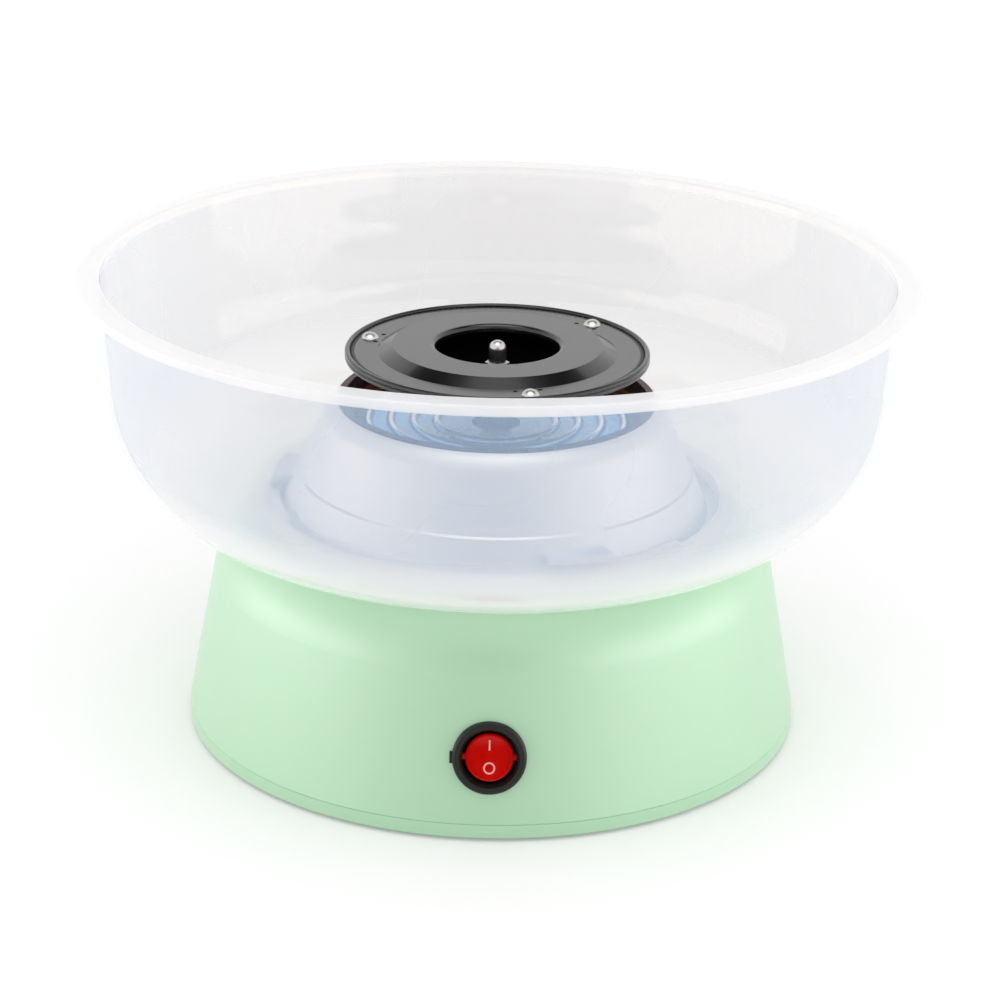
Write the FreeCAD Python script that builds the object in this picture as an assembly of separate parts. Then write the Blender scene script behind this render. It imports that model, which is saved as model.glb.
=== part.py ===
import FreeCAD, Part
import math
import os

# Table-top candy floss machine: a flared base with a mains rocker switch, a metal hood that
# carries a heated dish, a spinning sugar head on the motor shaft, and a lift-off catch bowl.
# Millimetres. Z is up from the table, the axis of the shaft is the Z axis, the switch faces -Y.

# --- feet and bottom cover ---
FOOT_LIFT = 1.0           # the rubber feet show this much below the cover
FOOT_R = 8.0
FOOT_PLUG_R = 3.0
FOOT_SEAT_DEPTH = 0.8
FOOT_CIRCLE_R = 84.0
FOOT_COUNT = 4
COVER_RIM = 5.0           # height of the cover's rim, up to the seam
COVER_FLOOR = 2.4
COVER_RISE = 0.8          # the floor is this far above the rim's lower edge
COVER_LIP = 3.0           # locating lip inside the housing
LIP_FIT = 0.25            # gap between that lip and the housing wall
SEAM_GROOVE = 0.5
VENT_LENGTH = 26.0
VENT_WIDTH = 3.0
VENT_PITCH = 7.5
VENT_COUNT = 5
VENT_OFFSET = 33.8        # middle of each bank from the axis

# --- base housing ---
BASE_R = 101.5            # outer radius at the seam
SEAT_HEIGHT = 66.0        # seam to the seat of the hood's foot
WALL_LEAN = 10.5          # degrees that the wall leans in
SHOULDER_FALL = 24.8      # degrees that the shoulder falls away at the rebate round that seat
SHELL = 2.5               # moulded wall
SEAT_HOLE_R = 54.0
REBATE_DEPTH = 0.94       # seat of the hood's foot, below the shoulder's inner edge
POST_CIRCLE_R = 84.0      # cover screw posts
POST_TURN = 45.0          # degrees from +X
POST_COUNT = 4
POST_R = 4.5
POST_HEIGHT = 34.0
RIB = 2.0
BOSS_CIRCLE_R = 60.0      # motor bracket bosses under the hood's seat
BOSS_TURN = 30.0          # degrees from +X
BOSS_COUNT = 3
BOSS_R = 5.0
BOSS_DROP = 3.5

# --- hood ---
HOOD_SHEET = 1.5
HOOD_FOOT_R = 76.9
HOOD_FOOT = 1.6           # thickness of the foot flange
HOOD_R = 70.4             # cone radius where it leaves the foot
HOOD_SLOPE = 22.6         # degrees between the cone and the vertical
HOOD_HEIGHT = 36.3        # foot flange to the land round the mouth
HOOD_MOUTH_R = 50.8
HOOD_LAND = 1.5           # width of that land
HOOD_CROWN_R = 10.0
CREASE_HEIGHT = 12.4      # above the foot flange
CREASE_STEP = 0.6
FOOT_FIT = 0.3            # gap round the foot in its rebate
LUG_R = 73.5
LUG_THICK = 1.9
LUG_SPAN = 17.0           # degrees
LUG_AZIMUTH = 22.0        # degrees from the front towards +X
LUG_COUNT = 3
LUG_CLEAR = 1.7           # height left over the bowl's tabs

# --- catch bowl ---
BOWL_R = 135.8            # over the rim
BOWL_HEIGHT = 154.5       # table to rim
BOWL_WALL = 1.8
BOWL_LEAN = 4.4           # degrees that the wall leans out
BOWL_FILLET = 47.5
BOWL_FLOOR = 2.6          # the fillet bottoms out this far under the lip's lower edge
RIM_WIDTH = 6.2
RIM_SKIRT = 3.0
RIM_ROUND = 0.6
BOWL_LIP_R = 74.1         # hole for the hood
LIP_HEIGHT = 4.4
LIP_LAND = 6.1            # flat width on top of the lip
LIP_FALL = 3.8            # width of the slope from the lip down to the floor
BOWL_GAP = 0.4            # between the lip and the hood's foot
TAB_R = 71.2
TAB_SPAN = 21.0
TAB_TURN = 21.0           # degrees past the lugs, so that the bowl lifts free

# --- heated dish ---
DISH_SHEET = 0.8
DISH_GAP = 0.2            # between the dish wall and the hood's mouth
DISH_DEPTH = 8.1          # rim to the floor's outer edge
DISH_CORNER = 4.0
DISH_FALL = 1.0           # the floor falls this much towards the shaft
DISH_HOLE_R = 8.0
RIDGE_INNER_R = 19.6
RIDGE_PITCH = 7.5
RIDGE_COUNT = 4
RIDGE_WIDTH = 3.2
RIDGE_HEIGHT = 1.3
DISH_SCREW_HEAD_R = 2.1

# --- heater and shield ---
PILLAR_CIRCLE_R = 23.4
PILLAR_R = 3.5
PILLAR_TOP_R = 2.4
PILLAR_COUNT = 4
PILLAR_TURN = 45.0        # degrees from +X
SHIELD_R = 47.0
SHIELD_SHEET = 0.8
SHIELD_DROP = 11.0        # shield top below the dish floor
FORMER_INNER_R = 28.0
FORMER_OUTER_R = 45.0
FORMER_HEIGHT = 8.5
COIL_R = 1.9
COIL_RINGS = (32.5, 40.5)
GROOVE_CLEAR = 0.3
CUTOUT_R = 8.0
CUTOUT_HEIGHT = 7.0

# --- motor and shaft ---
SHAFT_R = 2.5
RUNNING_FIT = 0.05
MOTOR_R = 18.5
MOTOR_LENGTH = 45.0
MOTOR_PILOT_R = 6.5
MOTOR_PILOT = 2.0
MOTOR_SCREW_CIRCLE_R = 12.5
MOTOR_SCREW_COUNT = 2
SHAFT_IN_MOTOR = 15.0
SHAFT_CHAMFER = 0.6
END_CAP_HEIGHT = 6.0
END_CAP_STEP = 0.5
END_CAP_CHAMFER = 2.0
MOTOR_ROUND = 2.0
BRACKET_PLATE_R = 30.4
BRACKET_SHEET = 1.5
BRACKET_ARM = 16.0
DAMPER = 2.0
COLLAR_R = 5.0
COLLAR_HEIGHT = 4.0
COLLAR_CHAMFER = 0.5
PIN_R = 1.0
PIN_LENGTH = 11.0
BUSH_R = 5.0
BUSH_FLANGE = 1.5

# --- spinning head ---
HEAD_R = 49.7             # over the rolled bead
HEAD_GAP = 3.3            # dish rim to the underside of the pan
HEAD_SHEET = 0.8
PAN_FLOOR_R = 25.0
PAN_LEDGE_R = 40.5
PAN_DEPTH = 10.7
BEAD_R = 0.9
SPACER_R = 2.3
SPACER_HEIGHT = 0.8
COVER_EDGE_R = 46.6
PLATEAU_R = 34.2
BEVEL_R = 39.1
PLATEAU_RISE = 2.5
SUGAR_HOLE_R = 20.1
SUGAR_LIP = 2.4
TOOTH_COUNT = 150
TOOTH_DEPTH = 0.55
OUTLET_GAP = 0.1          # radial gap each side of the outlet ring
HEAD_SCREW_CIRCLE_R = 43.8
HEAD_SCREW_AZIMUTH = 44.0
HEAD_SCREW_R = 3.0
HEAD_SCREW_DOME = 1.7
HEAD_SCREW_COUNT = 3
VENT_HOLE_CIRCLE_R = 40.6
VENT_HOLE_R = 0.75
VENT_HOLE_TURN = 5.7
HUB_R = 6.0
HUB_FLANGE_R = 9.0
HUB_FLANGE = 1.5
HUB_SKIRT = 4.0
HUB_RISE = 5.5
HUB_CAP = 2.75            # hub top to the end of the shaft
SLOT_CLEAR = 0.3
NUT_ACROSS = 7.0
NUT_HEIGHT = 3.0
STUD_R = 1.7
KNOB_R = 2.85
KNOB_LENGTH = 4.6         # nut to the middle of the knob's dome

# --- rocker switch ---
SWITCH_HEIGHT = 27.0      # centre above the table
BEZEL_R = 11.5
BEZEL_THICK = 2.4
BEZEL_ROUND = 1.0
BEZEL_MOUTH_R = 9.4       # funnel round the rocker, at its top
FUNNEL_DEPTH = 2.0
WELL_R = 8.4
BARREL_R = 9.9
BARREL_LENGTH = 15.0
BARREL_FLOOR = 5.0
CATCH = 2.0
PANEL_FIT = 0.1
KEY_LENGTH = 3.6
KEY_DEPTH = 0.8
KEY_THICK = 1.0
ROCKER_R = 7.4            # at the rim of its face
ROCKER_SKIRT_R = 7.6
ROCKER_THICK = 6.0
ROCKER_SET = 1.4          # middle of its face, below the top of the bezel
ROCKER_FACE_R = 40.0      # hollow of its face
ROCKER_RIM = 0.7          # width of the rim round that hollow
ROCKER_BEVEL = 0.4
ROCKER_TILT = 8.0         # degrees to each side
PIVOT_DEPTH = 3.4
PIVOT_R = 1.2
BLADE_WIDTH = 4.8
BLADE_THICK = 0.8
BLADE_LENGTH = 8.0

# --- cord entry and clamp ---
ENTRY_HEIGHT = 17.0
ENTRY_BORE_R = 3.2
ENTRY_BODY_R = 5.4
ENTRY_FLANGE_R = 7.5
ENTRY_FLANGE = 1.2
ENTRY_LENGTH = 11.0
CLAMP_OFFSET = 16.0       # inward from the wall
CLAMP_SIZE = (24.0, 8.0, 4.0)
CLAMP_SCREW_SPACING = 15.0

# --- parts that lie on the bottom cover ---
BOARD_SIZE = (42.0, 26.0, 1.6)
BOARD_CENTRE = (-50.0, -38.0)
BOARD_STAND = 5.0
DIODE_COUNT = 4
DIODE_PITCH = 5.0
CAPACITOR_R = 5.6
CAPACITOR_HEIGHT = 14.0
CAPACITOR_INSET = 9.0      # from the board's end
BLOCK_SIZE = (16.0, 34.0, 13.0)
BLOCK_CENTRE = (46.0, -38.0)
BLOCK_WAY_PITCH = 10.6

# --- common fasteners ---
SCREW_R = 1.5
SCREW_HEAD_R = 2.8
SCREW_HEAD = 1.6
SCREW_BITE = 7.0

# --- heights that follow from the sizes above ---
cover_edge_z = FOOT_LIFT
cover_floor_z = cover_edge_z + COVER_RISE + COVER_FLOOR
seam_z = cover_edge_z + COVER_RIM
rebate_z = seam_z + SEAT_HEIGHT
foot_top_z = rebate_z + HOOD_FOOT
lip_bottom_z = foot_top_z + BOWL_GAP
lip_top_z = lip_bottom_z + LIP_HEIGHT
lug_z = lip_top_z + LUG_CLEAR
land_z = foot_top_z + HOOD_HEIGHT
dish_rim_z = land_z + DISH_SHEET
dish_floor_z = dish_rim_z - DISH_DEPTH
shield_z = dish_floor_z - SHIELD_DROP
boss_bottom_z = rebate_z - SHELL - BOSS_DROP
bracket_top_z = boss_bottom_z - DAMPER
bracket_z = bracket_top_z - BRACKET_SHEET
pan_z = dish_rim_z + HEAD_GAP
ledge_z = pan_z + PAN_DEPTH
annulus_z = ledge_z + SPACER_HEIGHT + HEAD_SHEET
hub_bottom_z = pan_z - HUB_FLANGE - HUB_SKIRT
hub_top_z = pan_z + HUB_RISE
shaft_top_z = hub_top_z - HUB_CAP
pin_z = hub_bottom_z + SLOT_CLEAR + PIN_R

lean = math.radians(WALL_LEAN)
bowl_lean = math.radians(BOWL_LEAN)
hood_slope = math.radians(HOOD_SLOPE)
up = FreeCAD.Vector(0, 0, 1)
centre = FreeCAD.Vector(0, 0, 0)


def save(node, shape):
    """Writes one node's solids."""
    shape.exportStep("parts/" + node + ".step")


def section_edges(start, steps):
    """Edges of a closed section in the XZ plane. A step is an end point (radius, height), or
    a pair of points for an arc: one on the arc, then its end."""
    edges = []
    here = FreeCAD.Vector(start[0], 0, start[1])
    for step in list(steps) + [start]:
        via_arc = isinstance(step[0], tuple)
        end = step[1] if via_arc else step
        there = FreeCAD.Vector(end[0], 0, end[1])
        if via_arc:
            middle = FreeCAD.Vector(step[0][0], 0, step[0][1])
            edges.append(Part.Arc(here, middle, there).toShape())
        elif here.distanceToPoint(there) > 1e-6:
            edges.append(Part.LineSegment(here, there).toShape())
        here = there
    return edges


def turned(start, *steps):
    """A solid turned about the Z axis from a closed section."""
    face = Part.Face(Part.Wire(section_edges(start, steps)))
    return face.revolve(centre, up, 360)


def on_circle(middle, radius, degrees):
    """The point of a section's arc that lies at an angle above the horizontal."""
    angle = math.radians(degrees)
    return (middle[0] + radius * math.cos(angle), middle[1] + radius * math.sin(angle))


def tube(outer_r, inner_r, bottom, height):
    """A plain ring on the Z axis."""
    return turned((inner_r, bottom), (outer_r, bottom),
                  (outer_r, bottom + height), (inner_r, bottom + height))


def rod(radius, bottom, height, x=0.0, y=0.0):
    """A cylinder along Z."""
    return Part.makeCylinder(radius, height, FreeCAD.Vector(x, y, bottom))


def polar(radius, degrees):
    """Plan position at an angle from +X."""
    angle = math.radians(degrees)
    return radius * math.cos(angle), radius * math.sin(angle)


def ring_of(shape, count):
    """Copies of a shape spaced evenly about the Z axis."""
    copies = []
    for index in range(count):
        copy = shape.copy()
        copy.rotate(centre, up, 360.0 * index / count)
        copies.append(copy)
    return copies


def sector(inner_r, outer_r, bottom, height, azimuth, span):
    """Part of a ring. The azimuth of its middle is in degrees from -Y towards +X."""
    section = Part.Face(Part.makePolygon([
        FreeCAD.Vector(inner_r, 0, bottom), FreeCAD.Vector(outer_r, 0, bottom),
        FreeCAD.Vector(outer_r, 0, bottom + height), FreeCAD.Vector(inner_r, 0, bottom + height),
        FreeCAD.Vector(inner_r, 0, bottom)]))
    section.rotate(centre, up, azimuth - 90.0 - span / 2.0)
    return section.revolve(centre, up, span)


def box(size, x, y, bottom):
    """A block whose base is centred on a plan position."""
    corner = FreeCAD.Vector(x - size[0] / 2.0, y - size[1] / 2.0, bottom)
    return Part.makeBox(size[0], size[1], size[2], corner)


def pan_screw(x, y, under_head, bite, head_up=True, head_r=SCREW_HEAD_R):
    """A pan head screw with a plain shank; it points down, or up when its head is below."""
    way = 1.0 if head_up else -1.0
    head = Part.makeCylinder(head_r, SCREW_HEAD, FreeCAD.Vector(x, y, under_head),
                             FreeCAD.Vector(0, 0, way))
    shank = Part.makeCylinder(SCREW_R, bite, FreeCAD.Vector(x, y, under_head),
                              FreeCAD.Vector(0, 0, -way))
    rim = [edge for edge in head.Edges
           if abs(edge.CenterOfMass.z - (under_head + way * SCREW_HEAD)) < 1e-6]
    return head.makeFillet(SCREW_HEAD / 2.0, rim).fuse(shank).removeSplitter()


# ---------------------------------------------------------------- base housing

def wall_radius(height, inset=0.0):
    """Outer radius of the leaning wall at a height, less an inset square to the wall."""
    return BASE_R - (height - seam_z) * math.tan(lean) - inset / math.cos(lean)


def shoulder_arc():
    """Radius and centre of the shoulder. It touches the wall and ends at the rebate's edge,
    where it falls away by SHOULDER_FALL."""
    edge = (HOOD_FOOT_R + FOOT_FIT, rebate_z + REBATE_DEPTH)
    fall = math.radians(SHOULDER_FALL)
    wall_side = math.cos(lean) + math.sin(lean) * math.tan(lean)
    edge_side = math.sin(fall) + math.cos(fall) * math.tan(lean)
    radius = (wall_radius(edge[1]) - edge[0]) / (wall_side - edge_side)
    return radius, (edge[0] - radius * math.sin(fall), edge[1] - radius * math.cos(fall))


def base_shell():
    """Flared wall, rounded shoulder and the seat of the hood with its hole and rebate."""
    outer, middle = shoulder_arc()
    inner = outer - SHELL
    under_z = rebate_z - SHELL
    outer_angle = 90.0 - SHOULDER_FALL
    outer_end = on_circle(middle, outer, outer_angle)
    inner_angle = math.degrees(math.asin((under_z - middle[1]) / inner))
    return turned(
        (wall_radius(seam_z, SHELL), seam_z),
        (wall_radius(seam_z), seam_z),
        on_circle(middle, outer, WALL_LEAN),
        (on_circle(middle, outer, (WALL_LEAN + outer_angle) / 2.0), outer_end),
        (outer_end[0], rebate_z),
        (SEAT_HOLE_R, rebate_z),
        (SEAT_HOLE_R, under_z),
        on_circle(middle, inner, inner_angle),
        (on_circle(middle, inner, (WALL_LEAN + inner_angle) / 2.0),
         on_circle(middle, inner, WALL_LEAN)))


def cover_post():
    """Screw post for the bottom cover, with two ribs that tie it to the wall."""
    x, y = polar(POST_CIRCLE_R, POST_TURN)
    post = rod(POST_R, cover_floor_z, POST_HEIGHT, x, y)
    reach = wall_radius(cover_floor_z + POST_HEIGHT, SHELL / 2.0)
    rib = Part.makeBox(reach - POST_CIRCLE_R, RIB, POST_HEIGHT - COVER_LIP - RIB,
                       FreeCAD.Vector(POST_CIRCLE_R, -RIB / 2.0, seam_z + COVER_LIP + RIB))
    rib.rotate(centre, up, POST_TURN)
    hole = rod(SCREW_R, cover_floor_z, SCREW_BITE + RIB, x, y)
    return post.fuse(rib).cut(hole)


def bracket_boss():
    """Boss under the hood's seat that takes one bracket screw."""
    x, y = polar(BOSS_CIRCLE_R, BOSS_TURN)
    return rod(BOSS_R, boss_bottom_z, BOSS_DROP, x, y)


def base_housing():
    """The mint moulded housing."""
    shell = base_shell()
    shell = shell.fuse(ring_of(cover_post(), POST_COUNT) + ring_of(bracket_boss(), BOSS_COUNT))
    shell = shell.removeSplitter()
    x, y = polar(BOSS_CIRCLE_R, BOSS_TURN)
    screw_hole = rod(SCREW_R, boss_bottom_z, SCREW_BITE - DAMPER, x, y)
    cuts = ring_of(screw_hole, BOSS_COUNT) + [switch_panel_cut(), cord_entry_cut()]
    return shell.cut(cuts)


# ---------------------------------------------------------------- bottom cover and feet

def vent_slots():
    """Two banks of round-ended air slots in the cover's floor."""
    slots = []
    for side in (-1.0, 1.0):
        for index in range(VENT_COUNT):
            y = (index - (VENT_COUNT - 1) / 2.0) * VENT_PITCH
            x = side * VENT_OFFSET
            low = cover_edge_z
            high = COVER_RIM
            slot = box((VENT_LENGTH - VENT_WIDTH, VENT_WIDTH, high), x, y, low)
            for end in (-1.0, 1.0):
                end_x = x + end * (VENT_LENGTH - VENT_WIDTH) / 2.0
                slot = slot.fuse(rod(VENT_WIDTH / 2.0, low, high, end_x, y))
            slots.append(slot.removeSplitter())
    return slots


def bottom_cover():
    """Shallow tray that closes the base: rim, floor, locating lip and air slots."""
    lip_r = wall_radius(seam_z, SHELL) - LIP_FIT
    under_z = cover_edge_z + COVER_RISE
    tray = turned(
        (0, under_z),
        (BASE_R - SHELL, under_z),
        (BASE_R - SHELL, cover_edge_z),
        (BASE_R - SEAM_GROOVE, cover_edge_z),
        (BASE_R, cover_edge_z + SEAM_GROOVE),
        (BASE_R, seam_z - SEAM_GROOVE),
        (BASE_R - SEAM_GROOVE, seam_z),
        (lip_r, seam_z),
        (lip_r - COVER_LIP * math.tan(lean), seam_z + COVER_LIP),
        (lip_r - SHELL, seam_z + COVER_LIP),
        (lip_r - SHELL, cover_floor_z),
        (0, cover_floor_z))
    cuts = vent_slots()
    x, y = polar(FOOT_CIRCLE_R, 0.0)
    cuts += ring_of(rod(FOOT_R, under_z, FOOT_SEAT_DEPTH, x, y), FOOT_COUNT)
    cuts += ring_of(rod(FOOT_PLUG_R, under_z, COVER_FLOOR, x, y), FOOT_COUNT)
    x, y = polar(POST_CIRCLE_R, POST_TURN)
    cuts += ring_of(rod(SCREW_R, under_z, COVER_FLOOR, x, y), POST_COUNT)
    cuts += ring_of(rod(SCREW_HEAD_R + LIP_FIT, under_z, FOOT_SEAT_DEPTH, x, y), POST_COUNT)
    return tray.cut(cuts)


def rubber_feet():
    """Four feet pushed into the cover."""
    x, y = polar(FOOT_CIRCLE_R, 0.0)
    seat_z = cover_edge_z + COVER_RISE + FOOT_SEAT_DEPTH
    pad = rod(FOOT_R, 0, seat_z, x, y)
    rim = [edge for edge in pad.Edges if edge.CenterOfMass.z < 1e-6]
    foot = pad.makeFillet(FOOT_LIFT / 2.0, rim)
    plug = rod(FOOT_PLUG_R, seat_z, COVER_FLOOR - FOOT_SEAT_DEPTH, x, y)
    return Part.makeCompound(ring_of(foot.fuse(plug).removeSplitter(), FOOT_COUNT))


def cover_screws():
    """Four screws from below, up into the housing's posts."""
    x, y = polar(POST_CIRCLE_R, POST_TURN)
    under_head = cover_edge_z + COVER_RISE + FOOT_SEAT_DEPTH
    bite = COVER_FLOOR - FOOT_SEAT_DEPTH + SCREW_BITE
    screw = pan_screw(x, y, under_head, bite, head_up=False)
    return Part.makeCompound(ring_of(screw, POST_COUNT))


# ---------------------------------------------------------------- hood

def hood_cone(height, inset=0.0):
    """Cone radius at a height above the foot flange."""
    return HOOD_R - height * math.tan(hood_slope) - inset / math.cos(hood_slope)


def hood_crown():
    """Centre of the crown's arc, which touches the cone and ends at the land's outer edge."""
    land_r = HOOD_MOUTH_R + HOOD_LAND
    fall = math.tan(hood_slope)
    inset_r = hood_cone(-foot_top_z, HOOD_CROWN_R) - CREASE_STEP
    square = 1.0 + fall ** 2
    half = fall * (land_r - inset_r) - land_z
    rest = (land_r - inset_r) ** 2 + land_z ** 2 - HOOD_CROWN_R ** 2
    height = (-half - math.sqrt(half ** 2 - square * rest)) / square
    return inset_r - fall * height, height


def hood_shell():
    """Foot flange, cone with its crease, and the rounded crown round the mouth."""
    step_z = CREASE_HEIGHT + CREASE_STEP
    crown = hood_crown()
    tangent = on_circle(crown, HOOD_CROWN_R, HOOD_SLOPE)
    land_r = HOOD_MOUTH_R + HOOD_LAND
    crown_end = math.degrees(math.acos((land_r - crown[0]) / HOOD_CROWN_R))
    mouth_low = land_z - HOOD_SHEET - HOOD_LAND
    inner_r = HOOD_CROWN_R - HOOD_SHEET
    inner_end = math.degrees(math.acos((HOOD_MOUTH_R + HOOD_SHEET - crown[0]) / inner_r))
    inner_tangent = on_circle(crown, inner_r, HOOD_SLOPE)
    return turned(
        (hood_cone(-HOOD_FOOT, HOOD_SHEET), rebate_z),
        (HOOD_FOOT_R, rebate_z),
        (HOOD_FOOT_R, foot_top_z),
        (hood_cone(0), foot_top_z),
        (hood_cone(CREASE_HEIGHT), foot_top_z + CREASE_HEIGHT),
        (hood_cone(step_z) - CREASE_STEP, foot_top_z + step_z),
        tangent,
        (on_circle(crown, HOOD_CROWN_R, (HOOD_SLOPE + crown_end) / 2.0), (land_r, land_z)),
        (HOOD_MOUTH_R, land_z),
        (HOOD_MOUTH_R, mouth_low),
        (HOOD_MOUTH_R + HOOD_SHEET, mouth_low),
        on_circle(crown, inner_r, inner_end),
        (on_circle(crown, inner_r, (HOOD_SLOPE + inner_end) / 2.0), inner_tangent))


def heater_hood():
    """The pressed hood with three bayonet lugs for the bowl."""
    inner_r = hood_cone(lug_z - foot_top_z, HOOD_SHEET / 2.0)
    lug = sector(inner_r - LUG_THICK, LUG_R, lug_z, LUG_THICK, LUG_AZIMUTH, LUG_SPAN)
    hollow = turned((0, rebate_z), (hood_cone(-HOOD_FOOT, HOOD_SHEET), rebate_z),
                    (hood_cone(CREASE_HEIGHT, HOOD_SHEET), foot_top_z + CREASE_HEIGHT),
                    (0, foot_top_z + CREASE_HEIGHT))
    lug = lug.cut(hollow)
    return hood_shell().fuse(ring_of(lug, LUG_COUNT)).removeSplitter()


# ---------------------------------------------------------------- catch bowl

def catch_bowl():
    """Clear bowl: turned-down rim, curved wall, raised lip and three bayonet tabs."""
    wall_top_r = BOWL_R - RIM_WIDTH
    fillet_z = lip_bottom_z - BOWL_FLOOR + BOWL_FILLET
    tangent_z = fillet_z - BOWL_FILLET * math.sin(bowl_lean)
    tangent_r = wall_top_r - (BOWL_HEIGHT - tangent_z) * math.tan(bowl_lean)
    middle = (tangent_r - BOWL_FILLET * math.cos(bowl_lean), fillet_z)
    inner = BOWL_FILLET - BOWL_WALL
    lip_land_r = BOWL_LIP_R + LIP_LAND
    foot_r = lip_land_r + LIP_FALL
    outer_low = math.degrees(math.asin((foot_r - middle[0]) / BOWL_FILLET)) - 90.0
    inner_low = math.degrees(math.asin((foot_r + BOWL_WALL / 2.0 - middle[0]) / inner)) - 90.0
    lip_under_z = lip_top_z - BOWL_WALL
    rim_under_z = BOWL_HEIGHT - BOWL_WALL
    skirt_z = BOWL_HEIGHT - RIM_SKIRT
    wall_in_r = wall_top_r - BOWL_WALL / math.cos(bowl_lean)
    corner = (BOWL_R - RIM_ROUND, BOWL_HEIGHT - RIM_ROUND)
    brim = (wall_in_r + RIM_ROUND, BOWL_HEIGHT - RIM_ROUND)
    edge = (BOWL_LIP_R + RIM_ROUND, lip_top_z - RIM_ROUND)
    bowl = turned(
        (BOWL_LIP_R, lip_bottom_z),
        (BOWL_LIP_R + BOWL_WALL, lip_bottom_z),
        (BOWL_LIP_R + BOWL_WALL, lip_under_z),
        (lip_land_r, lip_under_z),
        on_circle(middle, BOWL_FILLET, outer_low),
        (on_circle(middle, BOWL_FILLET, (outer_low - BOWL_LEAN) / 2.0), (tangent_r, tangent_z)),
        (wall_top_r - BOWL_WALL * math.tan(bowl_lean), rim_under_z),
        (BOWL_R - BOWL_WALL, rim_under_z),
        (BOWL_R - BOWL_WALL, skirt_z),
        (BOWL_R, skirt_z),
        (BOWL_R, corner[1]),
        (on_circle(corner, RIM_ROUND, 45.0), (corner[0], BOWL_HEIGHT)),
        (brim[0], BOWL_HEIGHT),
        (on_circle(brim, RIM_ROUND, 135.0), (wall_in_r, brim[1])),
        on_circle(middle, inner, -BOWL_LEAN),
        (on_circle(middle, inner, (inner_low - BOWL_LEAN) / 2.0),
         on_circle(middle, inner, inner_low)),
        (lip_land_r + BOWL_WALL / 2.0, lip_top_z),
        (edge[0], lip_top_z),
        (on_circle(edge, RIM_ROUND, 135.0), (BOWL_LIP_R, edge[1])))
    tab = sector(TAB_R, BOWL_LIP_R + BOWL_WALL / 2.0, lip_under_z, BOWL_WALL - RIM_ROUND / 2.0,
                 LUG_AZIMUTH + TAB_TURN, TAB_SPAN)
    return bowl.fuse(ring_of(tab, LUG_COUNT)).removeSplitter()


# ---------------------------------------------------------------- heated dish

def dish_floor(radius):
    """Height of the dish floor's upper face between its ridges."""
    outer_r = HOOD_MOUTH_R - DISH_GAP - DISH_SHEET - DISH_CORNER
    return dish_floor_z - DISH_FALL * (outer_r - radius) / outer_r


def ridge_points(drop):
    """Near foot, crest and far foot of each ridge, a drop below the floor's upper face."""
    ridges = []
    for index in range(RIDGE_COUNT):
        ridge_r = RIDGE_INNER_R + index * RIDGE_PITCH
        near = ridge_r - RIDGE_WIDTH / 2.0
        far = ridge_r + RIDGE_WIDTH / 2.0
        ridges.append(((near, dish_floor(near) - drop),
                       (ridge_r, dish_floor(ridge_r) - drop + RIDGE_HEIGHT),
                       (far, dish_floor(far) - drop)))
    return ridges


def heated_dish():
    """Pressed steel dish: turned-out rim, wall, and a ridged floor that falls to the shaft."""
    outer_r = HOOD_MOUTH_R - DISH_GAP
    inner_r = outer_r - DISH_SHEET
    corner = (inner_r - DISH_CORNER, dish_floor_z + DISH_CORNER)
    rim_r = HOOD_MOUTH_R + HOOD_LAND - DISH_GAP
    section = []
    for near, crest, far in ridge_points(0.0):
        section += [near, (crest, far)]
    section += [
        (corner[0], dish_floor_z),
        (on_circle(corner, DISH_CORNER, -45.0), (inner_r, corner[1])),
        (inner_r, dish_rim_z),
        (rim_r, dish_rim_z),
        (rim_r, land_z),
        (outer_r, land_z),
        (outer_r, corner[1]),
        (on_circle(corner, DISH_CORNER + DISH_SHEET, -45.0),
         (corner[0], dish_floor_z - DISH_SHEET))]
    for near, crest, far in reversed(ridge_points(DISH_SHEET)):
        section += [far, (crest, near)]
    section.append((DISH_HOLE_R, dish_floor(DISH_HOLE_R) - DISH_SHEET))
    dish = turned((DISH_HOLE_R, dish_floor(DISH_HOLE_R)), *section)
    x, y = polar(PILLAR_CIRCLE_R, PILLAR_TURN)
    screw_hole = rod(SCREW_R, shield_z, SHIELD_DROP + DISH_DEPTH, x, y)
    return dish.cut(ring_of(screw_hole, PILLAR_COUNT))


def dish_screws():
    """Screws that pull the dish down on its pillars."""
    x, y = polar(PILLAR_CIRCLE_R, PILLAR_TURN)
    under_head = dish_floor(PILLAR_CIRCLE_R + DISH_SCREW_HEAD_R)
    screw = pan_screw(x, y, under_head, SCREW_BITE, head_r=DISH_SCREW_HEAD_R)
    return Part.makeCompound(ring_of(screw, PILLAR_COUNT))


def dish_pillars():
    """Shouldered steel pillars from the motor bracket up to the dish."""
    x, y = polar(PILLAR_CIRCLE_R, PILLAR_TURN)
    top_z = dish_floor(PILLAR_CIRCLE_R - PILLAR_TOP_R) - DISH_SHEET
    shoulder_z = shield_z - SHIELD_SHEET
    pillar = rod(PILLAR_R, bracket_top_z, shoulder_z - bracket_top_z, x, y)
    pillar = pillar.fuse(rod(PILLAR_TOP_R, shoulder_z, top_z - shoulder_z, x, y))
    hole_z = dish_floor(PILLAR_CIRCLE_R + DISH_SCREW_HEAD_R) - SCREW_BITE
    pillar = pillar.cut(rod(SCREW_R, hole_z, SCREW_BITE, x, y))
    return Part.makeCompound(ring_of(pillar, PILLAR_COUNT))


def heat_shield():
    """Steel disc that keeps the heat off the motor and carries the former."""
    low = shield_z - SHIELD_SHEET
    disc = tube(SHIELD_R, BUSH_R, low, SHIELD_SHEET)
    x, y = polar(PILLAR_CIRCLE_R, PILLAR_TURN)
    return disc.cut(ring_of(rod(PILLAR_TOP_R, low, SHIELD_SHEET, x, y), PILLAR_COUNT))


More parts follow.
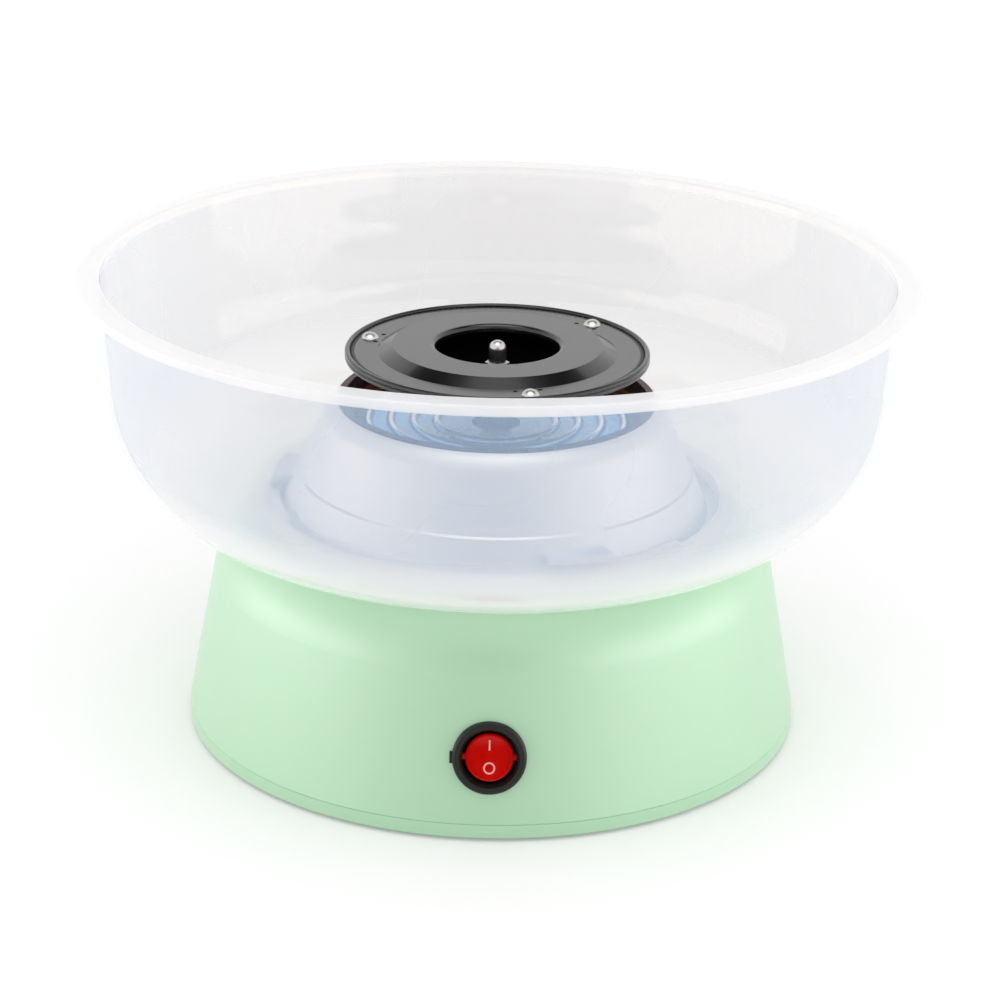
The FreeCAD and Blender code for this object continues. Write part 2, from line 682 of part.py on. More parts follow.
def heater_former():
    """Steatite ring with two coil grooves in its top."""
    top_z = shield_z + FORMER_HEIGHT
    ring = tube(FORMER_OUTER_R, FORMER_INNER_R, shield_z, FORMER_HEIGHT)
    depth = 2.0 * COIL_R + GROOVE_CLEAR
    for radius in COIL_RINGS:
        reach = COIL_R + GROOVE_CLEAR
        ring = ring.cut(tube(radius + reach, radius - reach, top_z - depth, depth))
    return ring


def heater_coil():
    """Outer shape of the wound resistance wire, one ring in each groove."""
    middle_z = shield_z + FORMER_HEIGHT - COIL_R - GROOVE_CLEAR
    rings = [Part.makeTorus(radius, COIL_R, FreeCAD.Vector(0, 0, middle_z))
             for radius in COIL_RINGS]
    return Part.makeCompound(rings)


def thermal_cutout():
    """Disc thermostat hung under the shield, with two spade terminals."""
    x, y = 0.0, (FORMER_INNER_R + FORMER_OUTER_R) / 2.0
    low = shield_z - SHIELD_SHEET - CUTOUT_HEIGHT
    body = rod(CUTOUT_R, low, CUTOUT_HEIGHT, x, y)
    for side in (-1.0, 1.0):
        blade = box((BLADE_THICK, BLADE_WIDTH, BLADE_LENGTH), x + side * CUTOUT_R / 2.0, y,
                    low - BLADE_LENGTH)
        body = body.fuse(blade)
    return body


# ---------------------------------------------------------------- motor, bracket and shaft

def motor_bracket():
    """Three-armed steel plate under the bosses that carries the motor and the pillars."""
    plate = rod(BRACKET_PLATE_R, bracket_z, BRACKET_SHEET)
    arm = Part.makeBox(BOSS_CIRCLE_R, BRACKET_ARM, BRACKET_SHEET,
                       FreeCAD.Vector(0, -BRACKET_ARM / 2.0, bracket_z))
    arm = arm.fuse(rod(BRACKET_ARM / 2.0, bracket_z, BRACKET_SHEET, BOSS_CIRCLE_R, 0))
    arm.rotate(centre, up, BOSS_TURN)
    plate = plate.fuse(ring_of(arm, BOSS_COUNT)).removeSplitter()
    x, y = polar(BOSS_CIRCLE_R, BOSS_TURN)
    cuts = ring_of(rod(SCREW_R, bracket_z, BRACKET_SHEET, x, y), BOSS_COUNT)
    cuts.append(rod(MOTOR_PILOT_R, bracket_z, BRACKET_SHEET))
    motor_hole = rod(SCREW_R, bracket_z, BRACKET_SHEET, MOTOR_SCREW_CIRCLE_R, 0)
    cuts += ring_of(motor_hole, MOTOR_SCREW_COUNT)
    return plate.cut(cuts)


def bracket_dampers():
    """Rubber washers between the bracket and the housing bosses."""
    x, y = polar(BOSS_CIRCLE_R, BOSS_TURN)
    washer = rod(BOSS_R, bracket_top_z, DAMPER, x, y)
    washer = washer.cut(rod(SCREW_R, bracket_top_z, DAMPER, x, y))
    return Part.makeCompound(ring_of(washer, BOSS_COUNT))


def bracket_screws():
    """Screws up through the bracket and dampers into the bosses."""
    x, y = polar(BOSS_CIRCLE_R, BOSS_TURN)
    bite = BRACKET_SHEET + SCREW_BITE
    screw = pan_screw(x, y, bracket_z, bite, head_up=False)
    return Part.makeCompound(ring_of(screw, BOSS_COUNT))


def motor_can():
    """Drawn steel motor case with its pilot and shaft bore."""
    low = bracket_z - MOTOR_LENGTH
    bore = SHAFT_R + RUNNING_FIT
    corner = (MOTOR_R - MOTOR_ROUND, bracket_z - MOTOR_ROUND)
    can = turned(
        (0, low),
        (MOTOR_R, low),
        (MOTOR_R, corner[1]),
        (on_circle(corner, MOTOR_ROUND, 45.0), (corner[0], bracket_z)),
        (MOTOR_PILOT_R, bracket_z),
        (MOTOR_PILOT_R, bracket_z + MOTOR_PILOT),
        (bore, bracket_z + MOTOR_PILOT),
        (bore, bracket_z - SHAFT_IN_MOTOR),
        (0, bracket_z - SHAFT_IN_MOTOR))
    hole = rod(SCREW_R, bracket_z - SCREW_BITE, SCREW_BITE, MOTOR_SCREW_CIRCLE_R, 0)
    return can.cut(ring_of(hole, MOTOR_SCREW_COUNT))


def motor_end_cap():
    """Moulded brush cap with two terminals."""
    low = bracket_z - MOTOR_LENGTH - END_CAP_HEIGHT
    cap = rod(MOTOR_R - END_CAP_STEP, low, END_CAP_HEIGHT)
    rim = [edge for edge in cap.Edges if abs(edge.CenterOfMass.z - low) < 1e-6]
    cap = cap.makeChamfer(END_CAP_CHAMFER, rim)
    for side in (-1.0, 1.0):
        blade = box((BLADE_WIDTH, BLADE_THICK, BLADE_LENGTH / 2.0), 0,
                    side * MOTOR_SCREW_CIRCLE_R, low - BLADE_LENGTH / 2.0)
        cap = cap.fuse(blade)
    return cap


def motor_screws():
    """Two screws down through the bracket into the motor."""
    screw = pan_screw(MOTOR_SCREW_CIRCLE_R, 0, bracket_top_z, SCREW_BITE)
    return Part.makeCompound(ring_of(screw, MOTOR_SCREW_COUNT))


def shaft_bush():
    """Bronze bush in the shield's centre that steadies the long shaft."""
    low = shield_z - SHIELD_SHEET
    bore = SHAFT_R + RUNNING_FIT
    return turned(
        (bore, low - BUSH_FLANGE),
        (BUSH_R + BUSH_FLANGE, low - BUSH_FLANGE),
        (BUSH_R + BUSH_FLANGE, low),
        (BUSH_R, low),
        (BUSH_R, shield_z + BUSH_FLANGE),
        (bore, shield_z + BUSH_FLANGE))


def drive_shaft():
    """The motor's long shaft, with a cross hole for the drive pin."""
    low = bracket_z - SHAFT_IN_MOTOR + SLOT_CLEAR
    top = shaft_top_z
    shaft = rod(SHAFT_R, low, top - low)
    tip = [edge for edge in shaft.Edges if abs(edge.CenterOfMass.z - top) < 1e-6]
    shaft = shaft.makeChamfer(SHAFT_CHAMFER, tip)
    return shaft.cut(cross_pin())


def cross_pin():
    """Pin through the shaft that turns the head."""
    start = FreeCAD.Vector(-PIN_LENGTH / 2.0, 0, pin_z)
    return Part.makeCylinder(PIN_R, PIN_LENGTH, start, FreeCAD.Vector(1, 0, 0))


def drive_collar():
    """Collar under the pin, on which the head's hub rests."""
    top = hub_bottom_z - SLOT_CLEAR
    collar = tube(COLLAR_R, SHAFT_R, top - COLLAR_HEIGHT, COLLAR_HEIGHT)
    rims = [edge for edge in collar.Edges if edge.BoundBox.XLength > 2.0 * (SHAFT_R + PIN_R)]
    return collar.makeChamfer(COLLAR_CHAMFER, rims)


# ---------------------------------------------------------------- spinning head

def head_pan():
    """Lower pan: flat floor, cone, ledge and an upturned rim rolled into two beads, one on
    the other, with a crease between them."""
    slope = math.atan2(PAN_DEPTH, PAN_LEDGE_R - PAN_FLOOR_R)
    shift = HEAD_SHEET * math.tan(slope / 2.0)
    under_z = ledge_z - HEAD_SHEET
    upper = (HEAD_R - BEAD_R, annulus_z)
    lower = (upper[0], under_z + BEAD_R)
    crease = math.degrees(math.asin((upper[1] - lower[1]) / (2.0 * BEAD_R)))
    inside = math.degrees(math.acos(HEAD_SHEET / (2.0 * BEAD_R))) - 180.0
    pan = turned(
        (HUB_R, pan_z),
        (PAN_FLOOR_R, pan_z),
        (PAN_LEDGE_R, under_z),
        (lower[0], under_z),
        (on_circle(lower, BEAD_R, 0.0), on_circle(lower, BEAD_R, crease)),
        (on_circle(upper, BEAD_R, 90.0), on_circle(upper, BEAD_R, inside)),
        (upper[0] - HEAD_SHEET / 2.0, ledge_z),
        (PAN_LEDGE_R - shift, ledge_z),
        (PAN_FLOOR_R - shift, pan_z + HEAD_SHEET),
        (HUB_R, pan_z + HEAD_SHEET))
    x, y = polar(HEAD_SCREW_CIRCLE_R, HEAD_SCREW_AZIMUTH)
    return pan.cut(ring_of(rod(SCREW_R, pan_z, PAN_DEPTH + HEAD_SHEET, x, y), HEAD_SCREW_COUNT))


def head_cover():
    """Top plate: annulus, bevel, raised plateau and the turned-down sugar hole."""
    plateau_z = annulus_z + PLATEAU_RISE
    slope = math.atan2(PLATEAU_RISE, BEVEL_R - PLATEAU_R)
    shift = HEAD_SHEET * math.tan(slope / 2.0)
    under_z = annulus_z - HEAD_SHEET
    lip = (SUGAR_HOLE_R + 2.0 * HEAD_SHEET, plateau_z - 2.0 * HEAD_SHEET)
    cover = turned(
        (SUGAR_HOLE_R, plateau_z - SUGAR_LIP),
        (SUGAR_HOLE_R, lip[1]),
        (on_circle(lip, 2.0 * HEAD_SHEET, 135.0), (lip[0], plateau_z)),
        (PLATEAU_R, plateau_z),
        (BEVEL_R, annulus_z),
        (COVER_EDGE_R, annulus_z),
        (COVER_EDGE_R, under_z),
        (BEVEL_R - shift, under_z),
        (PLATEAU_R - shift, plateau_z - HEAD_SHEET),
        (lip[0], plateau_z - HEAD_SHEET),
        (on_circle(lip, HEAD_SHEET, 135.0), (lip[0] - HEAD_SHEET, lip[1])),
        (lip[0] - HEAD_SHEET, plateau_z - SUGAR_LIP))
    x, y = polar(HEAD_SCREW_CIRCLE_R, HEAD_SCREW_AZIMUTH)
    cuts = ring_of(rod(SCREW_R, under_z, HEAD_SHEET, x, y), HEAD_SCREW_COUNT)
    for turn in (-VENT_HOLE_TURN, VENT_HOLE_TURN):
        x, y = polar(VENT_HOLE_CIRCLE_R, HEAD_SCREW_AZIMUTH + turn)
        cuts += ring_of(rod(VENT_HOLE_R, under_z, HEAD_SHEET, x, y), HEAD_SCREW_COUNT)
    return cover.cut(cuts)


def outlet_ring():
    """Toothed ring between the cover's edge and the pan's rim: melted sugar leaves through
    the slits between its teeth."""
    root_r = COVER_EDGE_R + OUTLET_GAP
    tip_r = HEAD_R - 2.0 * BEAD_R - OUTLET_GAP
    floor_r = tip_r - TOOTH_DEPTH
    points = []
    for index in range(TOOTH_COUNT):
        start = 360.0 * index / TOOTH_COUNT
        half = 180.0 / TOOTH_COUNT
        for radius, turn in ((floor_r, 0.0), (tip_r, 0.0), (tip_r, half), (floor_r, half)):
            x, y = polar(radius, start + turn)
            points.append(FreeCAD.Vector(x, y, ledge_z))
    points.append(points[0])
    outline = Part.Face(Part.makePolygon(points))
    ring = outline.extrude(FreeCAD.Vector(0, 0, SPACER_HEIGHT + HEAD_SHEET))
    return ring.cut(rod(root_r, ledge_z, SPACER_HEIGHT + HEAD_SHEET))


def head_spacers():
    """Spacers that hold the cover off the pan's ledge."""
    x, y = polar(HEAD_SCREW_CIRCLE_R, HEAD_SCREW_AZIMUTH)
    spacer = rod(SPACER_R, ledge_z, SPACER_HEIGHT, x, y)
    spacer = spacer.cut(rod(SCREW_R, ledge_z, SPACER_HEIGHT, x, y))
    return Part.makeCompound(ring_of(spacer, HEAD_SCREW_COUNT))


def head_screws():
    """Domed screws through cover, spacer and pan."""
    x, y = polar(HEAD_SCREW_CIRCLE_R, HEAD_SCREW_AZIMUTH)
    ball_r = (HEAD_SCREW_R ** 2 + HEAD_SCREW_DOME ** 2) / (2.0 * HEAD_SCREW_DOME)
    ball = Part.makeSphere(ball_r, FreeCAD.Vector(x, y, annulus_z + HEAD_SCREW_DOME - ball_r))
    dome = ball.common(rod(ball_r, annulus_z, HEAD_SCREW_DOME, x, y))
    low = ledge_z - 2.0 * HEAD_SHEET
    screw = dome.fuse(rod(SCREW_R, low, annulus_z - low, x, y)).removeSplitter()
    return Part.makeCompound(ring_of(screw, HEAD_SCREW_COUNT))


def head_hub():
    """Hub clamped through the pan's floor: bore for the shaft and a slot for the pin."""
    bore = SHAFT_R + RUNNING_FIT
    bore_top = shaft_top_z + SLOT_CLEAR
    hub = turned(
        (bore, hub_bottom_z),
        (HUB_R, hub_bottom_z),
        (HUB_R, pan_z - HUB_FLANGE),
        (HUB_FLANGE_R, pan_z - HUB_FLANGE),
        (HUB_FLANGE_R, pan_z),
        (HUB_R, pan_z),
        (HUB_R, hub_top_z),
        (0, hub_top_z),
        (0, bore_top),
        (bore, bore_top))
    slot_width = 2.0 * (PIN_R + SLOT_CLEAR)
    slot = box((3.0 * HUB_R, slot_width, slot_width + SLOT_CLEAR), 0, 0, hub_bottom_z)
    stud_hole = rod(STUD_R, bore_top, hub_top_z - bore_top)
    return hub.cut([slot, stud_hole])


def head_nut():
    """Nut that locks the stud on top of the hub."""
    corner_r = NUT_ACROSS / math.sqrt(3.0)
    corners = []
    for index in range(7):
        x, y = polar(corner_r, 60.0 * index)
        corners.append(FreeCAD.Vector(x, y, hub_top_z))
    nut = Part.Face(Part.makePolygon(corners)).extrude(FreeCAD.Vector(0, 0, NUT_HEIGHT))
    return nut.cut(rod(STUD_R, hub_top_z, NUT_HEIGHT))


def head_stud():
    """Stud with a domed knob on top, by which the head is lifted off."""
    low = shaft_top_z + SLOT_CLEAR
    nut_top = hub_top_z + NUT_HEIGHT
    dome_z = nut_top + KNOB_LENGTH
    return turned(
        (0, low),
        (STUD_R, low),
        (STUD_R, nut_top),
        (KNOB_R, nut_top),
        (KNOB_R, dome_z),
        (on_circle((0, dome_z), KNOB_R, 45.0), (0, dome_z + KNOB_R)))


# ---------------------------------------------------------------- rocker switch

def on_panel(shape):
    """Moves a switch piece from its own frame to the front wall. In its own frame the panel
    is the XY plane, +Z points out of the wall and +Y points up it."""
    shape.rotate(centre, FreeCAD.Vector(1, 0, 0), 90.0 - WALL_LEAN)
    depth = panel_flat()
    normal = FreeCAD.Vector(0, -math.cos(lean), math.sin(lean))
    wall = FreeCAD.Vector(0, -wall_radius(SWITCH_HEIGHT), SWITCH_HEIGHT)
    shape.translate(wall - normal * depth)
    return shape


def panel_flat():
    """Depth of the flat seat cut in the round wall for the bezel."""
    radius = wall_radius(SWITCH_HEIGHT)
    return radius - math.sqrt(radius ** 2 - BEZEL_R ** 2)


def switch_panel_cut():
    """Flat seat for the bezel and the round hole for the barrel."""
    seat = Part.makeCylinder(BEZEL_R + PANEL_FIT, SHELL, centre, up)
    hole_start = FreeCAD.Vector(0, 0, -2.0 * SHELL)
    hole = Part.makeCylinder(BARREL_R + PANEL_FIT, 3.0 * SHELL, hole_start, up)
    return on_panel(seat.fuse(hole))


def switch_body():
    """Black switch body: bezel with its key, barrel, well for the rocker and two catches."""
    bezel = Part.makeCylinder(BEZEL_R, BEZEL_THICK)
    rim = [edge for edge in bezel.Edges if abs(edge.CenterOfMass.z - BEZEL_THICK) < 1e-6]
    bezel = bezel.makeFillet(BEZEL_ROUND, rim)
    barrel = rod(BARREL_R, -BARREL_LENGTH, BARREL_LENGTH)
    key = box((2.0 * KEY_DEPTH, KEY_LENGTH, KEY_THICK), -BEZEL_R, 0, 0)
    body = bezel.fuse([barrel, key])
    for side in (-1.0, 1.0):
        catch = box((CATCH, KEY_LENGTH, CATCH), side * BARREL_R, 0, -SHELL - 2.0 * CATCH)
        body = body.fuse(catch)
    well_floor = BARREL_FLOOR - BARREL_LENGTH
    well = rod(WELL_R, well_floor, BARREL_LENGTH)
    funnel = Part.makeCone(WELL_R, BEZEL_MOUTH_R, FUNNEL_DEPTH,
                           FreeCAD.Vector(0, 0, BEZEL_THICK - FUNNEL_DEPTH), up)
    bearing_start = FreeCAD.Vector(-BARREL_R + BLADE_THICK, 0, BEZEL_THICK - PIVOT_DEPTH)
    bearing = Part.makeCylinder(PIVOT_R + RUNNING_FIT, 2.0 * (BARREL_R - BLADE_THICK),
                                bearing_start, FreeCAD.Vector(1, 0, 0))
    return on_panel(body.cut([well, funnel, bearing]).removeSplitter())


def rocker_button():
    """Rocker with a hollow face, on trunnions; it rests with its upper half pressed in."""
    pivot_z = BEZEL_THICK - PIVOT_DEPTH
    low = pivot_z - ROCKER_THICK / 2.0
    face_z = BEZEL_THICK - ROCKER_SET
    rim_z = face_z + ROCKER_FACE_R - math.sqrt(ROCKER_FACE_R ** 2 - ROCKER_R ** 2)
    rocker = Part.makeCone(ROCKER_SKIRT_R, ROCKER_R, rim_z - low, FreeCAD.Vector(0, 0, low), up)
    rim = [edge for edge in rocker.Edges if abs(edge.CenterOfMass.z - rim_z) < 1e-6]
    rocker = rocker.makeChamfer(ROCKER_BEVEL, rim)
    hollow_start = FreeCAD.Vector(-ROCKER_FACE_R, 0, face_z + ROCKER_FACE_R)
    hollow = Part.makeCylinder(ROCKER_FACE_R, 2.0 * ROCKER_FACE_R, hollow_start,
                               FreeCAD.Vector(1, 0, 0))
    rocker = rocker.cut(hollow.common(rod(ROCKER_R - ROCKER_RIM, low, ROCKER_FACE_R)))
    reach = BARREL_R - BLADE_THICK - SLOT_CLEAR
    trunnion = Part.makeCylinder(PIVOT_R, 2.0 * reach, FreeCAD.Vector(-reach, 0, pivot_z),
                                 FreeCAD.Vector(1, 0, 0))
    rocker = rocker.fuse(trunnion).removeSplitter()
    rocker.rotate(FreeCAD.Vector(0, 0, pivot_z), FreeCAD.Vector(1, 0, 0), -ROCKER_TILT)
    return on_panel(rocker)


def switch_blades():
    """Three brass blade terminals behind the switch."""
    blades = []
    for index in (-1, 0, 1):
        blades.append(on_panel(box((BLADE_WIDTH, BLADE_THICK, BLADE_LENGTH), 0,
                                   index * BLADE_WIDTH, -BARREL_LENGTH - BLADE_LENGTH)))
    return Part.makeCompound(blades)


# ---------------------------------------------------------------- cord entry

def along_entry(shape):
    """Moves a piece turned about Z to the rear wall, with its +Z pointing out along +Y."""
    shape.rotate(centre, FreeCAD.Vector(1, 0, 0), -90.0)
    shape.translate(FreeCAD.Vector(0, wall_radius(ENTRY_HEIGHT), ENTRY_HEIGHT))
    return shape


def cord_entry_cut():
    """Hole in the rear wall for the cord bush."""
    return along_entry(rod(ENTRY_BODY_R, -2.0 * ENTRY_LENGTH, 3.0 * ENTRY_LENGTH))


def cord_bush():
    """Moulded bush that lines the cord hole; the mains lead is not part of the model."""
    step = (ENTRY_FLANGE_R - ENTRY_BODY_R) / 2.0
    seat = ENTRY_FLANGE_R * math.tan(lean) + RUNNING_FIT
    bush = turned(
        (ENTRY_BORE_R, -ENTRY_LENGTH),
        (ENTRY_BODY_R, -ENTRY_LENGTH),
        (ENTRY_BODY_R, seat),
        (ENTRY_FLANGE_R, seat),
        (ENTRY_FLANGE_R, seat + ENTRY_FLANGE),
        (ENTRY_BODY_R, seat + ENTRY_FLANGE + step),
        (ENTRY_BORE_R, seat + ENTRY_FLANGE + step))
    return along_entry(bush)


def clamp_place():
    """Plan position of the cord clamp, inward from the bush."""
    return 0.0, wall_radius(ENTRY_HEIGHT) - ENTRY_LENGTH - CLAMP_OFFSET


def clamp_screw_places():
    """Both x positions of the clamp's screws."""
    return -CLAMP_SCREW_SPACING / 2.0, CLAMP_SCREW_SPACING / 2.0


def cord_clamp():
    """Bar that pins the lead down on the bottom cover's saddle."""
    x, y = clamp_place()
    bar = box(CLAMP_SIZE, x, y, ENTRY_HEIGHT)
    groove = Part.makeCylinder(ENTRY_BORE_R, 2.0 * CLAMP_SIZE[1],
                               FreeCAD.Vector(x, y - CLAMP_SIZE[1], ENTRY_HEIGHT),
                               FreeCAD.Vector(0, 1, 0))
    holes = [rod(SCREW_R, ENTRY_HEIGHT, CLAMP_SIZE[2], screw_x, y)
             for screw_x in clamp_screw_places()]
    return bar.cut([groove] + holes)


def clamp_saddle():
    """Block that the lead is clamped on, standing on the bottom cover."""
    x, y = clamp_place()
    gap = 2.0 * SLOT_CLEAR
    height = ENTRY_HEIGHT - gap - cover_floor_z
    block = box((CLAMP_SIZE[0], CLAMP_SIZE[1], height), x, y, cover_floor_z)
    groove = Part.makeCylinder(ENTRY_BORE_R, 2.0 * CLAMP_SIZE[1],
                               FreeCAD.Vector(x, y - CLAMP_SIZE[1], ENTRY_HEIGHT),
                               FreeCAD.Vector(0, 1, 0))
    hole_z = cover_floor_z + height - SCREW_BITE
    holes = [rod(SCREW_R, hole_z, SCREW_BITE, screw_x, y) for screw_x in clamp_screw_places()]
    return block.cut([groove] + holes)


def clamp_screws():
    """Two screws down through the clamp bar into the saddle."""
    x, y = clamp_place()
    under_head = ENTRY_HEIGHT + CLAMP_SIZE[2]
    bite = CLAMP_SIZE[2] + SCREW_BITE - SLOT_CLEAR
    screws = [pan_screw(screw_x, y, under_head, bite) for screw_x in clamp_screw_places()]
    return Part.makeCompound(screws)


# ---------------------------------------------------------------- parts on the bottom cover

def rectifier_board():
    """Board that feeds the motor from the heater circuit, on two stand-off rails."""
    x, y = BOARD_CENTRE
    low = cover_floor_z + BOARD_STAND
    board = box(BOARD_SIZE, x, y, low)
    for side in (-1.0, 1.0):
        rail = box((BOARD_SIZE[0], RIB, BOARD_STAND), x, y + side * (BOARD_SIZE[1] / 2.0 - RIB),
                   cover_floor_z)
        board = board.fuse(rail)
    top = low + BOARD_SIZE[2]
    for index in range(DIODE_COUNT):
        diode_x = x - BOARD_SIZE[0] / 2.0 + (index + 1) * DIODE_PITCH
        start = FreeCAD.Vector(diode_x, y, top + SCREW_R / 2.0)
        diode = Part.makeCylinder(SCREW_R, SCREW_BITE, start, FreeCAD.Vector(0, 1, 0))
        board = board.fuse(diode)
    capacitor_x = x + BOARD_SIZE[0] / 2.0 - CAPACITOR_INSET
    return board.fuse(rod(CAPACITOR_R, top, CAPACITOR_HEIGHT, capacitor_x, y))


def terminal_block():
    """Ceramic block where the lead, the switch and the heater meet, with wire holes."""
    x, y = BLOCK_CENTRE
    block = box(BLOCK_SIZE, x, y, cover_floor_z)
    cuts = []
    for index in (-1, 0, 1):
        way_y = y + index * BLOCK_WAY_PITCH
        start = FreeCAD.Vector(x - BLOCK_SIZE[0], way_y, cover_floor_z + BLOCK_SIZE[2] / 2.0)
        cuts.append(Part.makeCylinder(SCREW_HEAD_R, 2.0 * BLOCK_SIZE[0], start,
                                      FreeCAD.Vector(1, 0, 0)))
    return block.cut(cuts)


NODES = (
    ("base_housing", base_housing),
    ("bottom_cover", bottom_cover),
    ("rubber_feet", rubber_feet),
    ("cover_screws", cover_screws),
    ("heater_hood", heater_hood),
    ("catch_bowl", catch_bowl),
    ("heated_dish", heated_dish),
    ("dish_screws", dish_screws),
    ("dish_pillars", dish_pillars),
    ("heat_shield", heat_shield),
    ("heater_former", heater_former),
    ("heater_coil", heater_coil),
    ("thermal_cutout", thermal_cutout),
    ("motor_bracket", motor_bracket),
    ("bracket_dampers", bracket_dampers),
    ("bracket_screws", bracket_screws),
    ("motor_can", motor_can),
    ("motor_end_cap", motor_end_cap),
    ("motor_screws", motor_screws),
    ("shaft_bush", shaft_bush),
    ("drive_shaft", drive_shaft),
    ("drive_pin", cross_pin),
    ("drive_collar", drive_collar),
    ("head_pan", head_pan),
    ("head_cover", head_cover),
    ("outlet_ring", outlet_ring),
    ("head_spacers", head_spacers),
    ("head_screws", head_screws),
    ("head_hub", head_hub),
    ("head_nut", head_nut),
    ("head_stud", head_stud),
    ("switch_body", switch_body),
    ("rocker_button", rocker_button),
    ("switch_blades", switch_blades),
    ("cord_bush", cord_bush),
    ("cord_clamp", cord_clamp),
    ("clamp_saddle", clamp_saddle),
    ("clamp_screws", clamp_screws),
    ("rectifier_board", rectifier_board),
    ("terminal_block", terminal_block),
)

os.makedirs("parts", exist_ok=True)
for node, make in NODES:
    save(node, make())
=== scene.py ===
import math

import bmesh
import bpy
from mathutils import Matrix, Vector


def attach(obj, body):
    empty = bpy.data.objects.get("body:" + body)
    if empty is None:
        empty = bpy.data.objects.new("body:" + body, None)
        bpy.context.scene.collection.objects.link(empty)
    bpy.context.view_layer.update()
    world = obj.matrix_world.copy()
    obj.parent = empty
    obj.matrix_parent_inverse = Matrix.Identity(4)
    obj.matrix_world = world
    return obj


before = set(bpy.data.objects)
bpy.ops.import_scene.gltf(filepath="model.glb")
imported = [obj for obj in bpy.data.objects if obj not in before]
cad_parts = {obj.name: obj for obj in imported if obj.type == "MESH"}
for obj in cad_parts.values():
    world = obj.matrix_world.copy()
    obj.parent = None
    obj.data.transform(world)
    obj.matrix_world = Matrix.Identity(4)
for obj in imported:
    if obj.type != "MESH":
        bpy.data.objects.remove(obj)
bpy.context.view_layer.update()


# ---- Feet ----
# Four moulded rubber feet, pushed with their plugs into holes in the bottom cover.
# Black nitrile rubber from a spark-eroded mould, which leaves it dead matt and finely pitted.

def linear(code):
    """sRGB hex colour as the linear RGBA that shaders take."""
    channels = [int(code[i:i + 2], 16) / 255.0 for i in (1, 3, 5)]
    return [c / 12.92 if c <= 0.04045 else ((c + 0.055) / 1.055) ** 2.4 for c in channels] + [1.0]


def metres(size_mm):
    """A real size in millimetres as the metres that everything is placed in."""
    return size_mm / 1000.0


def add(tree, kind, settings=None, links=None):
    """Adds a node with its settings and what feeds it: a node's first output, or (node, output)."""
    made = tree.nodes.new(kind)
    for key, value in (settings or {}).items():
        if isinstance(key, int) or key in made.inputs:
            made.inputs[key].default_value = value
        else:
            setattr(made, key, value)
    for key, source in (links or {}).items():
        source, output = source if isinstance(source, tuple) else (source, 0)
        tree.links.new(source.outputs[output], made.inputs[key])
    return made


def finish(name):
    """A new material, with the place on the object in metres that its patterns are laid by."""
    material = bpy.data.materials.new(name)
    material.use_nodes = True
    material.node_tree.nodes.clear()
    coordinates = add(material.node_tree, "ShaderNodeTexCoord")
    return material, material.node_tree, (coordinates, "Object")


def dress(material, *names):
    """Gives CAD nodes this material."""
    for name in names:
        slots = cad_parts[name].data.materials
        slots.clear()
        slots.append(material)


# Spark eroded pits are about 0.05 mm wide, so they are drawn ten times coarser to show.
PIT_MM = 0.5
PIT_DEPTH_MM = 0.04
rubber, tree, place = finish("nitrile_rubber")
pits = add(tree, "ShaderNodeTexNoise", {"Scale": 1.0 / metres(PIT_MM), "Detail": 2.0}, {"Vector": place})
shade = add(tree, "ShaderNodeMix", {"data_type": "RGBA", 6: linear("#141414"), 7: linear("#202020")},
            {0: pits})
dull = add(tree, "ShaderNodeMapRange", {"To Min": 0.72, "To Max": 0.86}, {"Value": pits})
pitted = add(tree, "ShaderNodeBump", {"Distance": metres(PIT_DEPTH_MM)}, {"Height": pits})
skin = add(tree, "ShaderNodeBsdfPrincipled", {"IOR": 1.52, "Specular IOR Level": 0.3},
           {"Base Color": (shade, 2), "Roughness": dull, "Normal": pitted})
add(tree, "ShaderNodeOutputMaterial", {}, {"Surface": skin})
dress(rubber, "rubber_feet")


# ---- Base housing and bottom cover ----
# Both injection moulded in mint ABS from polished tools; the cover is screwed on from below.
# Polished ABS dulls to a soft wide gloss in use, and its pigment clouds the colour very slightly.

CLOUD_MM = 40.0
mint, tree, place = finish("polished_mint_abs")
cloud = add(tree, "ShaderNodeTexNoise", {"Scale": 1.0 / metres(CLOUD_MM), "Detail": 1.0}, {"Vector": place})
shade = add(tree, "ShaderNodeMix", {"data_type": "RGBA", 6: linear("#A8D4AD"), 7: linear("#ACD8B1")},
            {0: cloud})
gloss = add(tree, "ShaderNodeMapRange", {"To Min": 0.4, "To Max": 0.46}, {"Value": cloud})
skin = add(tree, "ShaderNodeBsdfPrincipled", {"IOR": 1.54, "Specular IOR Level": 0.9, "Coat Weight": 1.0,
                                              "Coat IOR": 1.65, "Coat Roughness": 0.45},
           {"Base Color": (shade, 2), "Roughness": gloss})
add(tree, "ShaderNodeOutputMaterial", {}, {"Surface": skin})
dress(mint, "base_housing", "bottom_cover")


# ---- Plated steel: screws, motor bracket and pillars ----
# Cold headed screws, a stamped bracket and turned pillars, all bright zinc plated.
# Bright zinc is a pale, slightly blue metal with a soft mottled spangle.

SPANGLE_MM = 1.6
zinc, tree, place = finish("bright_zinc_plate")
spangle = add(tree, "ShaderNodeTexNoise", {"Scale": 1.0 / metres(SPANGLE_MM), "Detail": 3.0},
              {"Vector": place})
shade = add(tree, "ShaderNodeMix", {"data_type": "RGBA", 6: linear("#B4B9BC"), 7: linear("#CDD1D3")},
            {0: spangle})
satin = add(tree, "ShaderNodeMapRange", {"To Min": 0.28, "To Max": 0.42}, {"Value": spangle})
skin = add(tree, "ShaderNodeBsdfPrincipled", {"Metallic": 1.0},
           {"Base Color": (shade, 2), "Roughness": satin})
add(tree, "ShaderNodeOutputMaterial", {}, {"Surface": skin})
dress(zinc, "cover_screws", "bracket_screws", "motor_screws", "clamp_screws", "motor_bracket",
      "dish_pillars")


